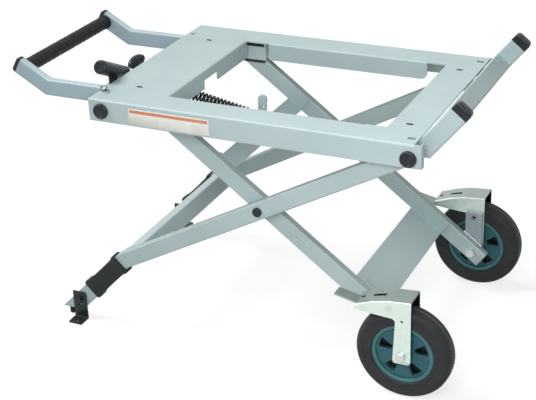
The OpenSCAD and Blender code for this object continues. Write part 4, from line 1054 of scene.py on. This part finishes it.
def stud_hook():
    """The bent wire hook beside the corner stud, through points given in millimetres."""
    wire_r = 1.4 * MM
    low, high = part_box("corner_stud")
    base = Vector(((low.x + high.x) / 2, (low.y + high.y) / 2, high.z - 6 * MM))
    turns = [(0, 6), (-7, 9), (-11, 5), (-8, 0), (0, -2), (7, -4), (10, -9), (6, -13), (0, -12)]
    bm = bmesh.new()
    wire(bm, smooth_path([base + Vector((x * MM, y * MM, 0)) for x, y in turns]), wire_r)
    from_bmesh("corner_hook", bm, "corner_stud", finishes["black_steel"], smooth=60, replace=False)


def smooth_path(points, steps=6):
    """A smooth curve through points."""
    made = []
    for i in range(len(points) - 1):
        p0, p1 = points[max(i - 1, 0)], points[i]
        p2, p3 = points[i + 1], points[min(i + 2, len(points) - 1)]
        for k in range(steps):
            t = k / steps
            made.append(0.5 * ((2 * p1) + (p2 - p0) * t + (2 * p0 - 5 * p1 + 4 * p2 - p3) * t * t
                               + (3 * p1 - p0 - 3 * p2 + p3) * t ** 3))
    return made + [points[-1]]


BEAM_BEAD_HALF, BEAM_BEAD_R = 22 * MM, 2.4 * MM
FOOT_BEAD_HALF, FOOT_BEAD_R = 15 * MM, 2 * MM


def welds():
    """Beads where the lower beam meets the outer legs, and where the cross tube meets the end feet."""
    for side, sign in SIDES.items():
        bm = bmesh.new()
        beam_low, beam_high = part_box("lower_cross_beam")
        run = slope(math.pi + OUTER_SLOPE)
        up = Vector((run.z, 0, -run.x))
        middle = (beam_low + beam_high) / 2
        half = BEAM_BEAD_HALF
        spot = Vector((middle.x, sign * beam_high.y, middle.z)) + up * (TUBE_H / 2)
        bead(bm, spot - run * half, spot + run * half, BEAM_BEAD_R, up)
        from_bmesh("beam_weld_" + side, bm, "lower_cross_beam", smooth=60, replace=False)
        bm = bmesh.new()
        tube_low, tube_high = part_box("end_foot_cross_tube")
        run, up = slope(FOOT_RISE), slope(FOOT_RISE + math.pi / 2)
        middle = (tube_low + tube_high) / 2
        spot = Vector((middle.x, sign * tube_high.y, middle.z)) + run * (TUBE_W / 2)
        half = FOOT_BEAD_HALF
        bead(bm, spot - up * half, spot + up * half, FOOT_BEAD_R, run)
        from_bmesh("foot_tube_weld_" + side, bm, "end_foot_cross_tube", smooth=60, replace=False)


tubes()
deck()
sheets()
for side_name in SIDES:
    fork(side_name)
    tyre(side_name)
    rim(side_name)
    sleeve(side_name)
    foot_bracket(side_name)
handle_grip()
release_grip()
paddle()
caps()
tube_caps("handle_end_caps", slope(math.pi - ARM_RISE))
tube_caps("end_foot_caps", slope(FOOT_RISE))
label()
spring()
stud_hook()
welds()

# CAD nodes that show as they are
KEPT = ["rail_bolts", "handle_bar", "top_pivot_bolts", "top_pivot_spacers", "lever_bushing", "paddle_pin",
        "corner_stud", "leg_tips", "foot_bolts", "centre_pivot_bolts", "centre_pivot_caps", "centre_washers",
        "slider_pins", "axle_bolts", "axle_washers", "pedal_pins", "slider_shoe_near", "slider_shoe_far",
        "release_stem", "fork_posts"]
for kept in KEPT:
    soften(kept)
nodes["fork_posts"].data.materials[0] = POST_PAINT_SHADED


# Stage, light and camera

def backdrop_white(tree, shown, lit):
    """A factor of 1 for camera, glossy and transmitted rays, and 0 for the light that falls on things."""
    path = tree.nodes.new("ShaderNodeLightPath")
    first = tree.nodes.new("ShaderNodeMath")
    first.operation = "MAXIMUM"
    tree.links.new(path.outputs["Is Camera Ray"], first.inputs[0])
    tree.links.new(path.outputs["Is Glossy Ray"], first.inputs[1])
    second = tree.nodes.new("ShaderNodeMath")
    second.operation = "MAXIMUM"
    tree.links.new(first.outputs[0], second.inputs[0])
    tree.links.new(path.outputs["Is Transmission Ray"], second.inputs[1])
    mix = tree.nodes.new("ShaderNodeMixShader")
    tree.links.new(second.outputs[0], mix.inputs[0])
    tree.links.new(lit, mix.inputs[1])
    tree.links.new(shown, mix.inputs[2])
    return mix.outputs[0]


SKY = 0.2
FLOOR_GREY = 0.35
FLOOR_GLOW = 0.75
SUN_POWER, SUN_FROM, SUN_SPREAD = 2.25, Vector((-0.62, -0.1, 0.8)), math.radians(30)
PANEL_POWER, PANEL_AT, PANEL_SIZE = 15, Vector((0.55, -1.4, 1.25)), 0.9
PANEL_AIM = Vector((0.05, -0.2, 0.5))


def make_world():
    world = bpy.data.worlds.new("studio")
    world.use_nodes = True
    tree = world.node_tree
    tree.nodes.clear()
    shown = tree.nodes.new("ShaderNodeBackground")
    shown.inputs["Color"].default_value = (1, 1, 1, 1)
    lit = tree.nodes.new("ShaderNodeBackground")
    lit.inputs["Color"].default_value = (0.97, 0.99, 1, 1)
    lit.inputs["Strength"].default_value = SKY
    out = tree.nodes.new("ShaderNodeOutputWorld")
    tree.links.new(backdrop_white(tree, shown.outputs[0], lit.outputs[0]), out.inputs[0])
    bpy.context.scene.world = world


def make_floor():
    bpy.ops.mesh.primitive_plane_add(size=60)
    floor = bpy.context.object
    floor.name = "floor"
    material = bpy.data.materials.new("floor_white")
    material.use_nodes = True
    tree = material.node_tree
    tree.nodes.clear()
    matt = tree.nodes.new("ShaderNodeBsdfDiffuse")
    matt.inputs["Color"].default_value = (FLOOR_GREY, FLOOR_GREY, FLOOR_GREY, 1)
    glow = tree.nodes.new("ShaderNodeEmission")
    glow.inputs["Strength"].default_value = FLOOR_GLOW
    both = tree.nodes.new("ShaderNodeAddShader")
    tree.links.new(matt.outputs[0], both.inputs[0])
    tree.links.new(glow.outputs[0], both.inputs[1])
    out = tree.nodes.new("ShaderNodeOutputMaterial")
    tree.links.new(backdrop_white(tree, both.outputs[0], matt.outputs[0]), out.inputs[0])
    floor.data.materials.append(material)


def lamp(name, kind, energy, place, aim, **settings):
    """A lamp at a place, turned to aim. A sun's place only gives its direction."""
    data = bpy.data.lights.new(name, kind)
    data.energy = energy
    for key, value in settings.items():
        setattr(data, key, value)
    made = bpy.data.objects.new(name, data)
    made.rotation_mode = "QUATERNION"
    made.rotation_quaternion = (place - aim).to_track_quat("Z", "Y")
    made.location = place
    bpy.context.scene.collection.objects.link(made)


def make_light():
    """A soft top light from the left, and a near panel in front that falls off towards the floor."""
    lamp("top_light", "SUN", SUN_POWER, SUN_FROM, Vector(), angle=SUN_SPREAD)
    lamp("front_panel", "AREA", PANEL_POWER, PANEL_AT, PANEL_AIM, shape="SQUARE", size=PANEL_SIZE)


def make_camera():
    """The photograph's view, fitted to the stand's own edges."""
    place = Vector((1.1493, -2.3770, 1.5258))
    yaw, pitch, roll = math.radians(25.87), math.radians(25.75), math.radians(-2.26)
    image_w, focal_px, sensor = 536, 1306.66, 36
    forward = Vector((-math.sin(yaw) * math.cos(pitch), math.cos(yaw) * math.cos(pitch), -math.sin(pitch)))
    right = forward.cross(UP).normalized()
    up = right.cross(forward)
    turned_right = right * math.cos(roll) + up * math.sin(roll)
    turned_up = up * math.cos(roll) - right * math.sin(roll)
    data = bpy.data.cameras.new("camera")
    data.sensor_width = sensor
    data.lens = focal_px * sensor / image_w
    camera = bpy.data.objects.new("camera", data)
    camera.matrix_world = Matrix((turned_right, turned_up, -forward)).transposed().to_4x4()
    camera.location = place
    bpy.context.scene.collection.objects.link(camera)
    bpy.context.scene.camera = camera


make_world()
make_floor()
make_light()
make_camera()
bpy.context.scene.view_settings.view_transform = "Standard"
